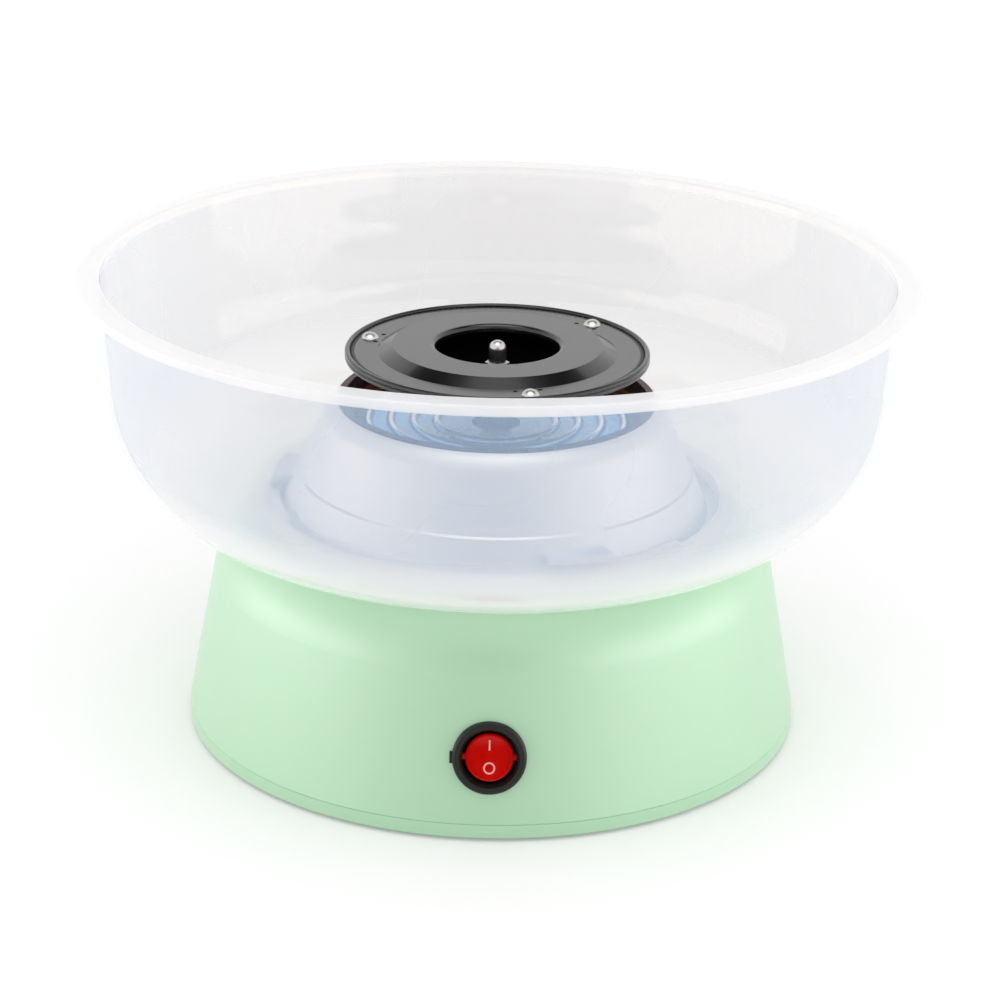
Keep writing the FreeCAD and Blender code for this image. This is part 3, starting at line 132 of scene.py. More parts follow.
# ---- Dampers ----
# Soft natural rubber washers between the bracket's arms and the housing, held by its screws.
# Browner and softer looking than the feet, with a pale bloom of talc.

BLOOM_MM = 1.0
damper, tree, place = finish("natural_rubber")
bloom = add(tree, "ShaderNodeTexNoise", {"Scale": 1.0 / metres(BLOOM_MM), "Detail": 3.0}, {"Vector": place})
shade = add(tree, "ShaderNodeMix", {"data_type": "RGBA", 6: linear("#2A2622"), 7: linear("#3B3631")},
            {0: bloom})
dull = add(tree, "ShaderNodeMapRange", {"To Min": 0.75, "To Max": 0.9}, {"Value": bloom})
skin = add(tree, "ShaderNodeBsdfPrincipled", {"IOR": 1.52, "Specular IOR Level": 0.25},
           {"Base Color": (shade, 2), "Roughness": dull})
add(tree, "ShaderNodeOutputMaterial", {}, {"Surface": skin})
dress(damper, "bracket_dampers")


# ---- Motor ----
# Deep drawn steel can with a moulded brush cap, screwed up under the bracket.
# Drawing leaves a satin grey with fine upright lines, a tenth of a millimetre apart and drawn
# four times coarser to show.

LINE_MM = 0.4
LINE_LENGTH_MM = 25.0
drawn, tree, place = finish("drawn_steel")
spacing = [1.0 / metres(size) for size in (LINE_MM, LINE_MM, LINE_LENGTH_MM)]
stretched = add(tree, "ShaderNodeMapping", {"Scale": spacing}, {"Vector": place})
lines = add(tree, "ShaderNodeTexNoise", {"Scale": 1.0, "Detail": 2.0}, {"Vector": stretched})
shade = add(tree, "ShaderNodeMix", {"data_type": "RGBA", 6: linear("#8D9092"), 7: linear("#A4A7A8")},
            {0: lines})
satin = add(tree, "ShaderNodeMapRange", {"To Min": 0.3, "To Max": 0.45}, {"Value": lines})
skin = add(tree, "ShaderNodeBsdfPrincipled", {"Metallic": 1.0},
           {"Base Color": (shade, 2), "Roughness": satin})
add(tree, "ShaderNodeOutputMaterial", {}, {"Surface": skin})
dress(drawn, "motor_can")

# The cap and the cord bush are black nylon with glass fibre, which flecks its dull skin.
FIBRE_MM = 0.8
filled_nylon, tree, place = finish("glass_filled_nylon")
fibre = add(tree, "ShaderNodeTexNoise", {"Scale": 1.0 / metres(FIBRE_MM), "Detail": 3.0}, {"Vector": place})
shade = add(tree, "ShaderNodeMix", {"data_type": "RGBA", 6: linear("#101010"), 7: linear("#1C1C1C")},
            {0: fibre})
dull = add(tree, "ShaderNodeMapRange", {"To Min": 0.5, "To Max": 0.68}, {"Value": fibre})
skin = add(tree, "ShaderNodeBsdfPrincipled", {"IOR": 1.53}, {"Base Color": (shade, 2), "Roughness": dull})
add(tree, "ShaderNodeOutputMaterial", {}, {"Surface": skin})
dress(filled_nylon, "motor_end_cap", "cord_bush")


# ---- Heater ----
# Fired steatite former with two rings of wound resistance wire, on a stamped tin plate shield.
# Steatite is cream and finely sandy; the wire has gone brown-grey, its turns still plain to see.

# Steatite's grain is about 0.1 mm, so it is drawn coarser to show.
SAND_MM = 0.7
SAND_DEPTH_MM = 0.03
steatite, tree, place = finish("fired_steatite")
sand = add(tree, "ShaderNodeTexNoise", {"Scale": 1.0 / metres(SAND_MM), "Detail": 3.0}, {"Vector": place})
shade = add(tree, "ShaderNodeMix", {"data_type": "RGBA", 6: linear("#D9CFBB"), 7: linear("#E9E1D0")},
            {0: sand})
dull = add(tree, "ShaderNodeMapRange", {"To Min": 0.6, "To Max": 0.8}, {"Value": sand})
sandy = add(tree, "ShaderNodeBump", {"Distance": metres(SAND_DEPTH_MM)}, {"Height": sand})
skin = add(tree, "ShaderNodeBsdfPrincipled", {"IOR": 1.6, "Specular IOR Level": 0.3},
           {"Base Color": (shade, 2), "Roughness": dull, "Normal": sandy})
add(tree, "ShaderNodeOutputMaterial", {}, {"Surface": skin})
dress(steatite, "heater_former", "terminal_block")

TURNS_IN_A_RING = 260.0
HALF_A_TURN = 0.5
WIRE_DEPTH_MM = 0.4
wire, tree, place = finish("oxidised_resistance_wire")
around = add(tree, "ShaderNodeTexGradient", {"gradient_type": "RADIAL"}, {"Vector": place})
turn = add(tree, "ShaderNodeMath", {"operation": "MULTIPLY", 1: TURNS_IN_A_RING}, {0: around})
wound = add(tree, "ShaderNodeMath", {"operation": "PINGPONG", 1: HALF_A_TURN}, {0: turn})
shade = add(tree, "ShaderNodeMix", {"data_type": "RGBA", 6: linear("#2B2725"), 7: linear("#9A8F86")},
            {0: wound})
ridged = add(tree, "ShaderNodeBump", {"Distance": metres(WIRE_DEPTH_MM)}, {"Height": wound})
skin = add(tree, "ShaderNodeBsdfPrincipled", {"Metallic": 0.8, "Roughness": 0.5},
           {"Base Color": (shade, 2), "Normal": ridged})
add(tree, "ShaderNodeOutputMaterial", {}, {"Surface": skin})
dress(wire, "heater_coil")

# Tin plate is bright and a little clouded from its rolls; the thermal cut-out's can is tinned too.
ROLL_MM = 3.0
tin, tree, place = finish("bright_tin_plate")
rolled = add(tree, "ShaderNodeTexNoise", {"Scale": 1.0 / metres(ROLL_MM), "Detail": 4.0}, {"Vector": place})
shade = add(tree, "ShaderNodeMix", {"data_type": "RGBA", 6: linear("#B9B8B4"), 7: linear("#D2D1CD")},
            {0: rolled})
satin = add(tree, "ShaderNodeMapRange", {"To Min": 0.22, "To Max": 0.36}, {"Value": rolled})
skin = add(tree, "ShaderNodeBsdfPrincipled", {"Metallic": 1.0},
           {"Base Color": (shade, 2), "Roughness": satin})
add(tree, "ShaderNodeOutputMaterial", {}, {"Surface": skin})
dress(tin, "heat_shield", "thermal_cutout")


# ---- Bush, blades, board and clamp ----
# Sintered bronze bush in the shield, stamped brass blades, a paper laminate board and a
# natural nylon cord clamp: dull dark bronze, bright brass, mottled brown board, milky nylon.

# Sintered pores are about 0.05 mm wide, so they are drawn coarser to show.
PORE_MM = 0.3
bronze, tree, place = finish("sintered_bronze")
pores = add(tree, "ShaderNodeTexNoise", {"Scale": 1.0 / metres(PORE_MM), "Detail": 2.0}, {"Vector": place})
shade = add(tree, "ShaderNodeMix", {"data_type": "RGBA", 6: linear("#7D5E36"), 7: linear("#A98550")},
            {0: pores})
dull = add(tree, "ShaderNodeMapRange", {"To Min": 0.45, "To Max": 0.6}, {"Value": pores})
skin = add(tree, "ShaderNodeBsdfPrincipled", {"Metallic": 1.0},
           {"Base Color": (shade, 2), "Roughness": dull})
add(tree, "ShaderNodeOutputMaterial", {}, {"Surface": skin})
dress(bronze, "shaft_bush")

# The brass blades are rolled bright, and handling has smeared their yellow a little.
SMEAR_MM = 1.2
brass, tree, place = finish("stamped_brass")
smear = add(tree, "ShaderNodeTexNoise", {"Scale": 1.0 / metres(SMEAR_MM), "Detail": 3.0}, {"Vector": place})
shade = add(tree, "ShaderNodeMix", {"data_type": "RGBA", 6: linear("#BFA263"), 7: linear("#D8BE80")},
            {0: smear})
satin = add(tree, "ShaderNodeMapRange", {"To Min": 0.25, "To Max": 0.38}, {"Value": smear})
skin = add(tree, "ShaderNodeBsdfPrincipled", {"Metallic": 1.0},
           {"Base Color": (shade, 2), "Roughness": satin})
add(tree, "ShaderNodeOutputMaterial", {}, {"Surface": skin})
dress(brass, "switch_blades")

# The board is paper pressed in phenolic resin: brown, mottled like pulp and half glossy.
PULP_MM = 1.5
laminate, tree, place = finish("paper_laminate")
pulp = add(tree, "ShaderNodeTexNoise", {"Scale": 1.0 / metres(PULP_MM), "Detail": 5.0}, {"Vector": place})
shade = add(tree, "ShaderNodeMix", {"data_type": "RGBA", 6: linear("#8F6F3C"), 7: linear("#AE8C52")},
            {0: pulp})
satin = add(tree, "ShaderNodeMapRange", {"To Min": 0.45, "To Max": 0.6}, {"Value": pulp})
skin = add(tree, "ShaderNodeBsdfPrincipled", {"IOR": 1.55},
           {"Base Color": (shade, 2), "Roughness": satin})
add(tree, "ShaderNodeOutputMaterial", {}, {"Surface": skin})
dress(laminate, "rectifier_board")

# Unpigmented nylon is milky and waxy, with slow streaks where it flowed in the mould.
FLOW_MM = 5.0
natural_nylon, tree, place = finish("natural_nylon")
flow = add(tree, "ShaderNodeTexNoise", {"Scale": 1.0 / metres(FLOW_MM)}, {"Vector": place})
shade = add(tree, "ShaderNodeMix", {"data_type": "RGBA", 6: linear("#D8D6CB"), 7: linear("#E6E4DA")},
            {0: flow})
satin = add(tree, "ShaderNodeMapRange", {"To Min": 0.35, "To Max": 0.45}, {"Value": flow})
skin = add(tree, "ShaderNodeBsdfPrincipled", {"IOR": 1.53},
           {"Base Color": (shade, 2), "Roughness": satin})
add(tree, "ShaderNodeOutputMaterial", {}, {"Surface": skin})
dress(natural_nylon, "cord_clamp", "clamp_saddle")


# ---- Hood ----
# Pressed from aluminium sheet, trimmed, then brushed on a lathe and clear anodised.
# Fine turning lines run round it, so its highlights spread up and down and stay satin.

# Brushing lines are about 0.1 mm apart, so they are drawn five times coarser to show.
TURNING_MM = 0.5
TURNING_DEPTH_MM = 0.004
hood_metal, tree, place = finish("satin_anodised_aluminium")
axes = add(tree, "ShaderNodeSeparateXYZ", {}, {0: place})
height = add(tree, "ShaderNodeCombineXYZ", {}, {"Z": (axes, "Z")})
turning = add(tree, "ShaderNodeTexNoise", {"Scale": 1.0 / metres(TURNING_MM), "Detail": 3.0},
              {"Vector": height})
shade = add(tree, "ShaderNodeMix", {"data_type": "RGBA", 6: linear("#DADFE8"), 7: linear("#E5E9F1")},
            {0: turning})
satin = add(tree, "ShaderNodeMapRange", {"To Min": 0.46, "To Max": 0.56}, {"Value": turning})
lined = add(tree, "ShaderNodeBump", {"Distance": metres(TURNING_DEPTH_MM)}, {"Height": turning})
round_the_axis = add(tree, "ShaderNodeTangent", {"direction_type": "RADIAL", "axis": "Z"})
skin = add(tree, "ShaderNodeBsdfPrincipled", {"Metallic": 1.0, "Anisotropic": 0.4},
           {"Base Color": (shade, 2), "Roughness": satin, "Normal": lined, "Tangent": round_the_axis})
add(tree, "ShaderNodeOutputMaterial", {}, {"Surface": skin})
dress(hood_metal, "heater_hood")


# ---- Heated dish ----
# Pressed steel over the heater, whose heat has blued the floor and browned the cooler wall.
# Temper colours follow the radius, with a haze of burnt sugar that wanders across them, and the
# crests of its four pressed ridges carry a painted highlight: pale stripes of colour that stand in for
# their gloss.

HAZE_MM = 6.0
WANDER_MM = 6.0
BLUE_FROM_MM = 10.0
BROWN_TO_MM = 54.0
dish_metal, tree, place = finish("heat_blued_steel")
axes = add(tree, "ShaderNodeSeparateXYZ", {}, {0: place})
flat = add(tree, "ShaderNodeCombineXYZ", {}, {"X": (axes, "X"), "Y": (axes, "Y")})
radius = add(tree, "ShaderNodeVectorMath", {"operation": "LENGTH"}, {0: flat})
haze = add(tree, "ShaderNodeTexNoise", {"Scale": 1.0 / metres(HAZE_MM), "Detail": 4.0}, {"Vector": place})
wander = add(tree, "ShaderNodeMath", {"operation": "MULTIPLY_ADD", 1: metres(WANDER_MM)},
             {0: haze, 2: (radius, "Value")})
temper = add(tree, "ShaderNodeMapRange", {"From Min": metres(BLUE_FROM_MM),
                                          "From Max": metres(BROWN_TO_MM)}, {"Value": wander})
colours = add(tree, "ShaderNodeValToRGB", {}, {0: temper})
colours.color_ramp.elements[0].color = linear("#8AA4C0")
colours.color_ramp.elements[1].color = linear("#3C1810")
for where, code in ((0.55, "#8EBAF0"), (0.78, "#7CAEEC"), (0.88, "#4A1A10")):
    colours.color_ramp.elements.new(where).color = linear(code)
# Measured from the first ridge in pitches: how far from a crest the painted highlight fades out and is
# full.
FIRST_RIDGE_MM = 19.6
RIDGE_PITCH_MM = 7.5
RIDGE_COUNT = 4
HALF_A_PITCH = 0.5
HIGHLIGHT_ENDS = 0.12
HIGHLIGHT_FULL = 0.05
PAST_THE_LAST = 0.4
ridges = add(tree, "ShaderNodeMapRange", {"From Min": metres(FIRST_RIDGE_MM),
                                          "From Max": metres(FIRST_RIDGE_MM + RIDGE_PITCH_MM),
                                          "clamp": False}, {"Value": (radius, "Value")})
off_crest = add(tree, "ShaderNodeMath", {"operation": "PINGPONG", 1: HALF_A_PITCH}, {0: ridges})
crest_highlight = add(tree, "ShaderNodeMapRange", {"From Min": HIGHLIGHT_ENDS, "From Max": HIGHLIGHT_FULL},
            {"Value": off_crest})
middle = (RIDGE_COUNT - 1) / 2.0
inside = add(tree, "ShaderNodeMath", {"operation": "COMPARE", 1: middle, 2: middle + PAST_THE_LAST},
             {0: ridges})
painted_crest_highlight = add(tree, "ShaderNodeMath", {"operation": "MULTIPLY"}, {0: crest_highlight, 1: inside})
# Painted highlight: the ridge crests are mixed towards near white #F4F7FB.
shade = add(tree, "ShaderNodeMix", {"data_type": "RGBA", 7: linear("#F4F7FB")}, {0: painted_crest_highlight, 6: colours})
gloss = add(tree, "ShaderNodeMapRange", {"To Min": 0.2, "To Max": 0.32}, {"Value": haze})
skin = add(tree, "ShaderNodeBsdfPrincipled", {"Metallic": 1.0},
           {"Base Color": (shade, 2), "Roughness": gloss})
add(tree, "ShaderNodeOutputMaterial", {}, {"Surface": skin})
dress(dish_metal, "heated_dish")


# ---- Bright steel: shaft, hub, nut, stud and domed screws ----
# Ground shaft and pin, turned collar, hub and spacers, polished domes on the stud and screws.
# Grinding and tumbling leave a soft bright mirror, very slightly warm, with hair-fine marks.

# Such marks are about 0.02 mm wide, so they are drawn coarser to show.
HAIR_MM = 0.3
bright, tree, place = finish("ground_bright_steel")
hair = add(tree, "ShaderNodeTexNoise", {"Scale": 1.0 / metres(HAIR_MM), "Detail": 2.0}, {"Vector": place})
shade = add(tree, "ShaderNodeMix", {"data_type": "RGBA", 6: linear("#C9C8C5"), 7: linear("#DAD9D6")},
            {0: hair})
mirror = add(tree, "ShaderNodeMapRange", {"To Min": 0.24, "To Max": 0.34}, {"Value": hair})
skin = add(tree, "ShaderNodeBsdfPrincipled", {"Metallic": 1.0},
           {"Base Color": (shade, 2), "Roughness": mirror})
add(tree, "ShaderNodeOutputMaterial", {}, {"Surface": skin})
dress(bright, "drive_shaft", "drive_pin", "drive_collar", "head_hub", "head_nut",
      "head_spacers", "head_screws", "dish_screws", "head_stud")


# ---- Spinning head ----
# Pan and cover pressed from aluminium and coated, with the etched outlet strip between them.
# The coating is a baked non-stick enamel: nearly black, smooth, with soft broad reflections.

SPATTER_MM = 0.6
coating, tree, place = finish("black_baked_non_stick")
spatter = add(tree, "ShaderNodeTexNoise", {"Scale": 1.0 / metres(SPATTER_MM), "Detail": 2.0},
              {"Vector": place})
shade = add(tree, "ShaderNodeMix", {"data_type": "RGBA", 6: linear("#0C0C0E"), 7: linear("#141417")},
            {0: spatter})
smooth = add(tree, "ShaderNodeMapRange", {"To Min": 0.18, "To Max": 0.26}, {"Value": spatter})
skin = add(tree, "ShaderNodeBsdfPrincipled", {"IOR": 1.5, "Coat Weight": 0.4, "Coat Roughness": 0.1},
           {"Base Color": (shade, 2), "Roughness": smooth})
add(tree, "ShaderNodeOutputMaterial", {}, {"Surface": skin})
dress(coating, "head_pan", "head_cover")

# The strip is bare etched steel, dark grey and satin, with a grain a little coarser than real.
ETCH_MM = 0.5
strip, tree, place = finish("etched_heater_strip")
etch = add(tree, "ShaderNodeTexNoise", {"Scale": 1.0 / metres(ETCH_MM), "Detail": 3.0}, {"Vector": place})
shade = add(tree, "ShaderNodeMix", {"data_type": "RGBA", 6: linear("#3A3A3C"), 7: linear("#5E5E60")},
            {0: etch})
satin = add(tree, "ShaderNodeMapRange", {"To Min": 0.35, "To Max": 0.5}, {"Value": etch})
skin = add(tree, "ShaderNodeBsdfPrincipled", {"Metallic": 1.0},
           {"Base Color": (shade, 2), "Roughness": satin})
add(tree, "ShaderNodeOutputMaterial", {}, {"Surface": skin})
dress(strip, "outlet_ring")


# ---- Rocker switch ----
# Black nylon body snapped into the wall, with a translucent red rocker on trunnions.
# The bezel is lightly matt from its mould; the rocker is polished and deep in colour.

# The mould's grain is about 0.05 mm, so it is drawn coarser to show.
MATT_MM = 0.4
bezel, tree, place = finish("moulded_black_nylon")
matt = add(tree, "ShaderNodeTexNoise", {"Scale": 1.0 / metres(MATT_MM)}, {"Vector": place})
shade = add(tree, "ShaderNodeMix", {"data_type": "RGBA", 6: linear("#10130F"), 7: linear("#171A16")},
            {0: matt})
dull = add(tree, "ShaderNodeMapRange", {"To Min": 0.4, "To Max": 0.5}, {"Value": matt})
skin = add(tree, "ShaderNodeBsdfPrincipled", {"IOR": 1.53, "Specular IOR Level": 0.35},
           {"Base Color": (shade, 2), "Roughness": dull})
add(tree, "ShaderNodeOutputMaterial", {}, {"Surface": skin})
dress(bezel, "switch_body")

# The rocker is red polycarbonate, clear enough to look deeper in colour where it is thick.
DEPTH_MM = 3.0
red, tree, place = finish("red_polycarbonate")
depth = add(tree, "ShaderNodeTexNoise", {"Scale": 1.0 / metres(DEPTH_MM)}, {"Vector": place})
shade = add(tree, "ShaderNodeMix", {"data_type": "RGBA", 6: linear("#BA0602"), 7: linear("#CE0A03")},
            {0: depth})
gloss = add(tree, "ShaderNodeMapRange", {"To Min": 0.12, "To Max": 0.18}, {"Value": depth})
skin = add(tree, "ShaderNodeBsdfPrincipled", {"IOR": 1.58, "Specular IOR Level": 0.15},
           {"Base Color": (shade, 2), "Roughness": gloss})
add(tree, "ShaderNodeOutputMaterial", {}, {"Surface": skin})
dress(red, "rocker_button")

# The rocker's own frame lies on the wall: +Z out of it, +Y up it, with its upper half pressed in.
SEAT_MM = (0.0, -96.939, 26.876)
WALL_LEAN_DEG = 79.5
PRESSED_DEG = -8.0
PIVOT_MM = -1.0
FACE_MM = 1.0
FACE_HOLLOW_MM = 40.0
INK_LIFT_MM = 0.05
rocker_frame = (Matrix.Translation([metres(size) for size in SEAT_MM])
                @ Matrix.Rotation(math.radians(WALL_LEAN_DEG), 4, "X")
                @ Matrix.Translation((0.0, 0.0, metres(PIVOT_MM)))
                @ Matrix.Rotation(math.radians(PRESSED_DEG), 4, "X"))


def print_mark(name, rows, closed):
    """A raised print on the rocker's hollow face, from rows of points across its stroke in mm."""
    ink = bmesh.new()
    rings = []
    for row in rows:
        ring = []
        for lift, side in ((INK_LIFT_MM, 0), (INK_LIFT_MM, 1), (-INK_LIFT_MM, 1), (-INK_LIFT_MM, 0)):
            x, y = row[side]
            face = FACE_MM + FACE_HOLLOW_MM - math.sqrt(FACE_HOLLOW_MM ** 2 - y ** 2)
            spot = Vector([metres(size) for size in (x, y, face + lift - PIVOT_MM)])
            ring.append(ink.verts.new(rocker_frame @ spot))
        rings.append(ring)
    for first, second in zip(rings, rings[1:] + rings[:1] if closed else rings[1:]):
        for edge in range(len(first)):
            following = (edge + 1) % len(first)
            ink.faces.new((first[edge], first[following], second[following], second[edge]))
    if not closed:
        ink.faces.new(rings[0])
        ink.faces.new(rings[-1])
    bmesh.ops.recalc_face_normals(ink, faces=ink.faces)
    mesh = bpy.data.meshes.new(name)
    ink.to_mesh(mesh)
    mesh.materials.append(white_ink)
    piece = bpy.data.objects.new(name, mesh)
    bpy.context.scene.collection.objects.link(piece)
    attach(piece, "rocker")


# Both marks are pad printed in white ink, which the red below turns pinkish where it is thin.
# The print's own grain is finer than the half millimetre that is drawn.
INK_MM = 0.5
white_ink, tree, place = finish("white_pad_print")
thin = add(tree, "ShaderNodeTexNoise", {"Scale": 1.0 / metres(INK_MM)}, {"Vector": place})
shade = add(tree, "ShaderNodeMix", {"data_type": "RGBA", 6: linear("#E2938A"), 7: linear("#F0BEB7")},
            {0: thin})
satin = add(tree, "ShaderNodeMapRange", {"To Min": 0.4, "To Max": 0.55}, {"Value": thin})
skin = add(tree, "ShaderNodeBsdfPrincipled", {"IOR": 1.5}, {"Base Color": (shade, 2), "Roughness": satin})
add(tree, "ShaderNodeOutputMaterial", {}, {"Surface": skin})

STROKE_MM = 0.5
BAR_MM = 3.2
MARK_ON_MM = 3.7
MARK_OFF_MM = -3.4
BAR_STEPS = 8
heights = [MARK_ON_MM + BAR_MM * (step / BAR_STEPS - 0.5) for step in range(BAR_STEPS + 1)]
print_mark("mark_on", [((-STROKE_MM / 2.0, y), (STROKE_MM / 2.0, y)) for y in heights], False)
CIRCLE_MM = 1.85
CIRCLE_STEPS = 48
turns = [2.0 * math.pi * step / CIRCLE_STEPS for step in range(CIRCLE_STEPS)]
print_mark("mark_off", [tuple((r * math.cos(turn), MARK_OFF_MM + r * math.sin(turn))
                              for r in (CIRCLE_MM, CIRCLE_MM - STROKE_MM)) for turn in turns], True)


# ---- Catch bowl ----
# Thin bowl injection moulded in clear polystyrene with a faintly milky cast.
# Like thin milk it scatters blue light more than red, so what is dark behind it looks blue and
# what is white stays white; its rim and floor are thicker and whiter, and its skin is glossy.

STREAM_MM = 60.0
milky, tree, place = finish("milky_clear_polystyrene")
stream = add(tree, "ShaderNodeTexNoise", {"Scale": 1.0 / metres(STREAM_MM), "Detail": 1.0},
             {"Vector": place})
axes = add(tree, "ShaderNodeSeparateXYZ", {}, {0: place})
RIM_FROM_MM = 150.5
RIM_TO_MM = 152.0
rim = add(tree, "ShaderNodeMapRange", {"From Min": metres(RIM_FROM_MM), "From Max": metres(RIM_TO_MM)},
          {"Value": (axes, "Z")})
FLOOR_FROM_MM = 102.0
FLOOR_TO_MM = 82.0
floor = add(tree, "ShaderNodeMapRange", {"From Min": metres(FLOOR_FROM_MM),
                                         "From Max": metres(FLOOR_TO_MM)}, {"Value": (axes, "Z")})
ends = add(tree, "ShaderNodeMath", {"operation": "MAXIMUM"}, {0: rim, 1: floor})
STREAM_SHARE = 0.08
thick = add(tree, "ShaderNodeMath", {"operation": "MULTIPLY_ADD", 1: STREAM_SHARE}, {0: stream, 2: ends})
tint = add(tree, "ShaderNodeMix", {"data_type": "RGBA", 6: linear("#E3DBD0"), 7: linear("#B5B1AC")},
           {0: thick})
haze = add(tree, "ShaderNodeMix", {"data_type": "RGBA", 6: linear("#6A7E95"), 7: linear("#C1C3C7")},
           {0: thick})
clear = add(tree, "ShaderNodeBsdfTransparent", {}, {"Color": (tint, 2)})
reflected = add(tree, "ShaderNodeBsdfDiffuse", {}, {"Color": (haze, 2)})
passed = add(tree, "ShaderNodeBsdfTranslucent", {}, {"Color": (haze, 2)})
PASSED_SHARE = 0.5
mist = add(tree, "ShaderNodeMixShader", {0: PASSED_SHARE}, {1: reflected, 2: passed})
veil = add(tree, "ShaderNodeAddShader", {}, {0: clear, 1: mist})
sheen = add(tree, "ShaderNodeBsdfGlossy", {"Color": (1.0, 1.0, 1.0, 1.0), "Roughness": 0.06})
low_angle = add(tree, "ShaderNodeFresnel", {"IOR": 1.5})
# Light is mirrored where it enters the plastic; on its way out that would double each highlight.
side = add(tree, "ShaderNodeNewGeometry")
outward = add(tree, "ShaderNodeMath", {"operation": "SUBTRACT", 0: 1.0}, {1: (side, "Backfacing")})
amount = add(tree, "ShaderNodeMath", {"operation": "MULTIPLY"}, {0: low_angle, 1: outward})
skin = add(tree, "ShaderNodeMixShader", {}, {0: amount, 1: veil, 2: sheen})
add(tree, "ShaderNodeOutputMaterial", {}, {"Surface": skin})
dress(milky, "catch_bowl")


# ---- Studio ----
# A white painted table under white air, two long low soft boxes that stand on it left and right,
# one more overhead, and two black cloths. All of it is soft and neutral, so colours keep true.

def stage_sheet(name, corners, material):
    """A flat sheet of the studio from its corners."""
    mesh = bpy.data.meshes.new(name)
    mesh.from_pydata(corners, [], [tuple(range(len(corners)))])
    mesh.materials.append(material)
    sheet = bpy.data.objects.new(name, mesh)
    bpy.context.scene.collection.objects.link(sheet)
    return sheet


# The table glows only to what looks at it, straight, mirrored or through the bowl, so its glow puts
# no light on the object and leaves the object's shadow in place.
table, tree, place = finish("white_table")
path = add(tree, "ShaderNodeLightPath")
seen = add(tree, "ShaderNodeMath", {"operation": "MAXIMUM"},
           {0: (path, "Is Camera Ray"), 1: (path, "Is Glossy Ray")})
seen = add(tree, "ShaderNodeMath", {"operation": "MAXIMUM"}, {0: seen, 1: (path, "Is Transmission Ray")})
# The lamps light it less further off, so that there it glows more by itself, to stay as white.
NEAR_M = 0.2
FAR_M = 1.6
NEAR_GLOW = 0.17
FAR_GLOW = 0.7
reach = add(tree, "ShaderNodeVectorMath", {"operation": "LENGTH"}, {0: place})
fill = add(tree, "ShaderNodeMapRange", {"From Min": NEAR_M, "From Max": FAR_M, "To Min": NEAR_GLOW,
                                        "To Max": FAR_GLOW}, {"Value": (reach, "Value")})
lift = add(tree, "ShaderNodeMath", {"operation": "MULTIPLY"}, {0: seen, 1: fill})
paint = add(tree, "ShaderNodeBsdfDiffuse", {"Color": linear("#F0F0F0")})
glow = add(tree, "ShaderNodeEmission", {"Color": (1.0, 1.0, 1.0, 1.0)}, {"Strength": lift})
both = add(tree, "ShaderNodeAddShader", {}, {0: paint, 1: glow})
add(tree, "ShaderNodeOutputMaterial", {}, {"Surface": both})
EDGE_M = 8.0
stage_sheet("studio_table", [(-EDGE_M, -EDGE_M, 0.0), (EDGE_M, -EDGE_M, 0.0), (EDGE_M, EDGE_M, 0.0),
                             (-EDGE_M, EDGE_M, 0.0)], table)

world = bpy.data.worlds.new("studio_air")
bpy.context.scene.world = world
world.use_nodes = True
tree = world.node_tree
tree.nodes.clear()
path = add(tree, "ShaderNodeLightPath")
seen = add(tree, "ShaderNodeMath", {"operation": "MAXIMUM"},
           {0: (path, "Is Camera Ray"), 1: (path, "Is Glossy Ray")})
seen = add(tree, "ShaderNodeMath", {"operation": "MAXIMUM"}, {0: seen, 1: (path, "Is Transmission Ray")})
# Looked at, the air is full white too; what it sheds on the object is less.
AIR_LIGHT = 0.66
level = add(tree, "ShaderNodeMapRange", {"To Min": AIR_LIGHT}, {"Value": seen})
air = add(tree, "ShaderNodeBackground", {"Color": (1.0, 1.0, 1.0, 1.0)}, {"Strength": level})
add(tree, "ShaderNodeOutputWorld", {}, {"Surface": air})


def soft_box(name, position, target, width, height, radiance):
    """A rectangular soft box that points at a target; radiance 1 is as bright as white paper."""
    lamp = bpy.data.lights.new(name, "AREA")
    lamp.shape = "RECTANGLE"
    lamp.size = width
    lamp.size_y = height
    lamp.energy = radiance * math.pi * width * height
    holder = bpy.data.objects.new(name, lamp)
    bpy.context.scene.collection.objects.link(holder)
    holder.location = position
    holder.rotation_euler = (Vector(target) - Vector(position)).to_track_quat("-Z", "Y").to_euler()
    holder.visible_camera = False


# For each side box: the degrees it stands round from the front, its width, height and radiance.
BOX_DISTANCE_M = 0.55
BOX_GAP_M = 0.01
for name, azimuth, width, height, radiance in (("soft_box_left", -76.0, 0.7, 0.2, 2.35),
                                               ("soft_box_right", 70.0, 0.75, 0.22, 2.15)):
    turn = math.radians(azimuth)
    middle = 0.5 * height + BOX_GAP_M
    spot = (BOX_DISTANCE_M * math.sin(turn), -BOX_DISTANCE_M * math.cos(turn), middle)
    soft_box(name, spot, (0.0, 0.0, middle), width, height, radiance)
OVERHEAD_M = (0.0, -0.12, 1.65)
AIM_M = (0.0, 0.0, 0.1)
soft_box("soft_box_top", OVERHEAD_M, AIM_M, width=1.2, height=1.25, radiance=1.45)

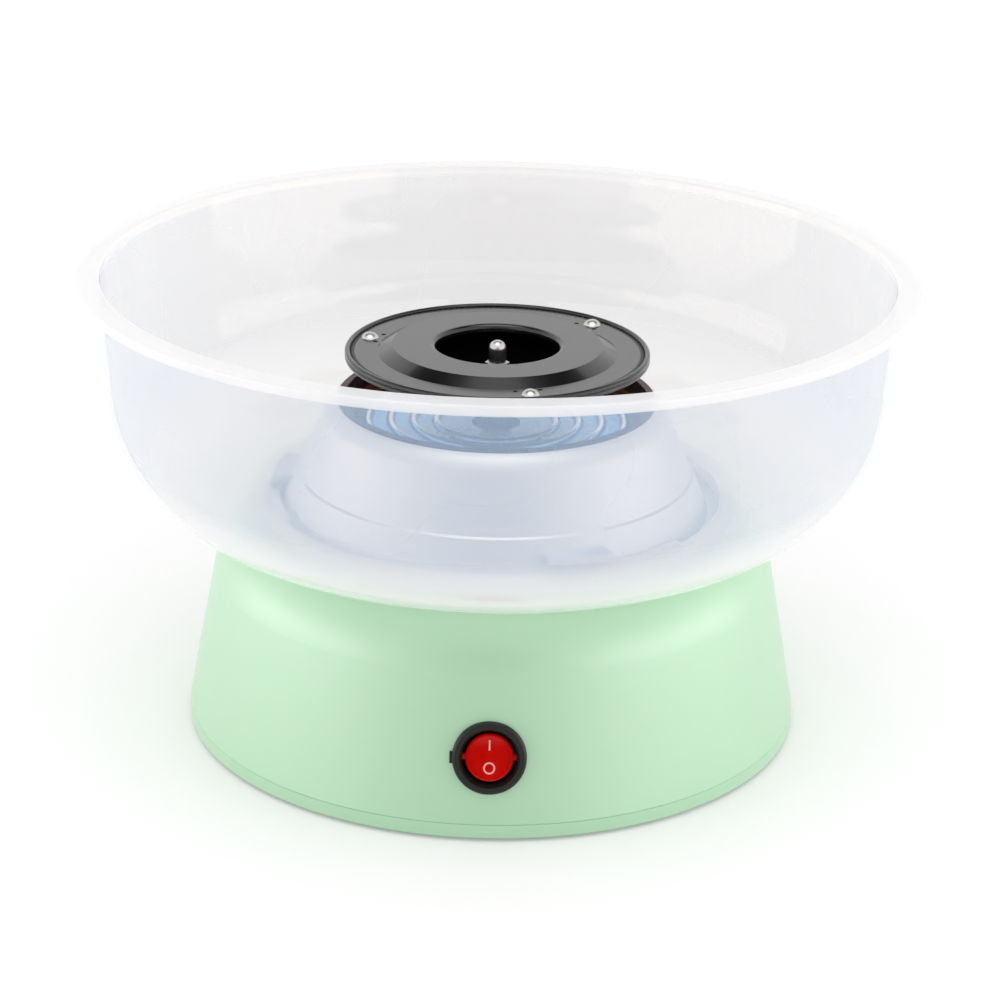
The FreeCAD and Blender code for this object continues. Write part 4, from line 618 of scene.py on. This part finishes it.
# Black cotton cloths, dull and loosely woven, hang behind the camera and behind the top box to keep
# the gloss deep. Only reflections see them, so they take no light from the object.
WEAVE_MM = 2.5
black_cloth, tree, place = finish("black_studio_cloth")
weave = add(tree, "ShaderNodeTexNoise", {"Scale": 1.0 / metres(WEAVE_MM)}, {"Vector": place})
shade = add(tree, "ShaderNodeMix", {"data_type": "RGBA", 6: linear("#030303"), 7: linear("#060606")},
            {0: weave})
skin = add(tree, "ShaderNodeBsdfDiffuse", {}, {"Color": (shade, 2)})
add(tree, "ShaderNodeOutputMaterial", {}, {"Surface": skin})
FRONT_M = -1.5
FRONT_HALF_M = 0.45
FRONT_TOP_M = 0.85
CEILING_M = 1.8
CEILING_HALF_M = 1.3
CEILING_BACK_M = 1.4
front_corners = [(-FRONT_HALF_M, FRONT_M, 0.0), (FRONT_HALF_M, FRONT_M, 0.0),
                 (FRONT_HALF_M, FRONT_M, FRONT_TOP_M), (-FRONT_HALF_M, FRONT_M, FRONT_TOP_M)]
top_corners = [(-CEILING_HALF_M, 0.0, CEILING_M), (CEILING_HALF_M, 0.0, CEILING_M),
               (CEILING_HALF_M, CEILING_BACK_M, CEILING_M), (-CEILING_HALF_M, CEILING_BACK_M, CEILING_M)]
for name, corners in (("studio_front_cloth", front_corners), ("studio_top_cloth", top_corners)):
    cloth = stage_sheet(name, corners, black_cloth)
    cloth.visible_camera = False
    cloth.visible_diffuse = False
    cloth.visible_shadow = False
    cloth.visible_transmission = False

# The camera stands in front and above, and its tripod leans very slightly.
CAMERA_M = (0.00175, -0.931, 0.43298)
LOOKS_DOWN_DEG = 21.07
LEANS_DEG = 1.09
camera_data = bpy.data.cameras.new("camera")
camera_data.lens = 108.3
camera_data.sensor_width = 36.0
camera = bpy.data.objects.new("camera", camera_data)
bpy.context.scene.collection.objects.link(camera)
camera.matrix_world = (Matrix.Translation(CAMERA_M)
                       @ Matrix.Rotation(math.radians(90.0 - LOOKS_DOWN_DEG), 4, "X")
                       @ Matrix.Rotation(math.radians(LEANS_DEG), 4, "Z"))
bpy.context.scene.camera = camera
bpy.context.scene.view_settings.view_transform = "Standard"
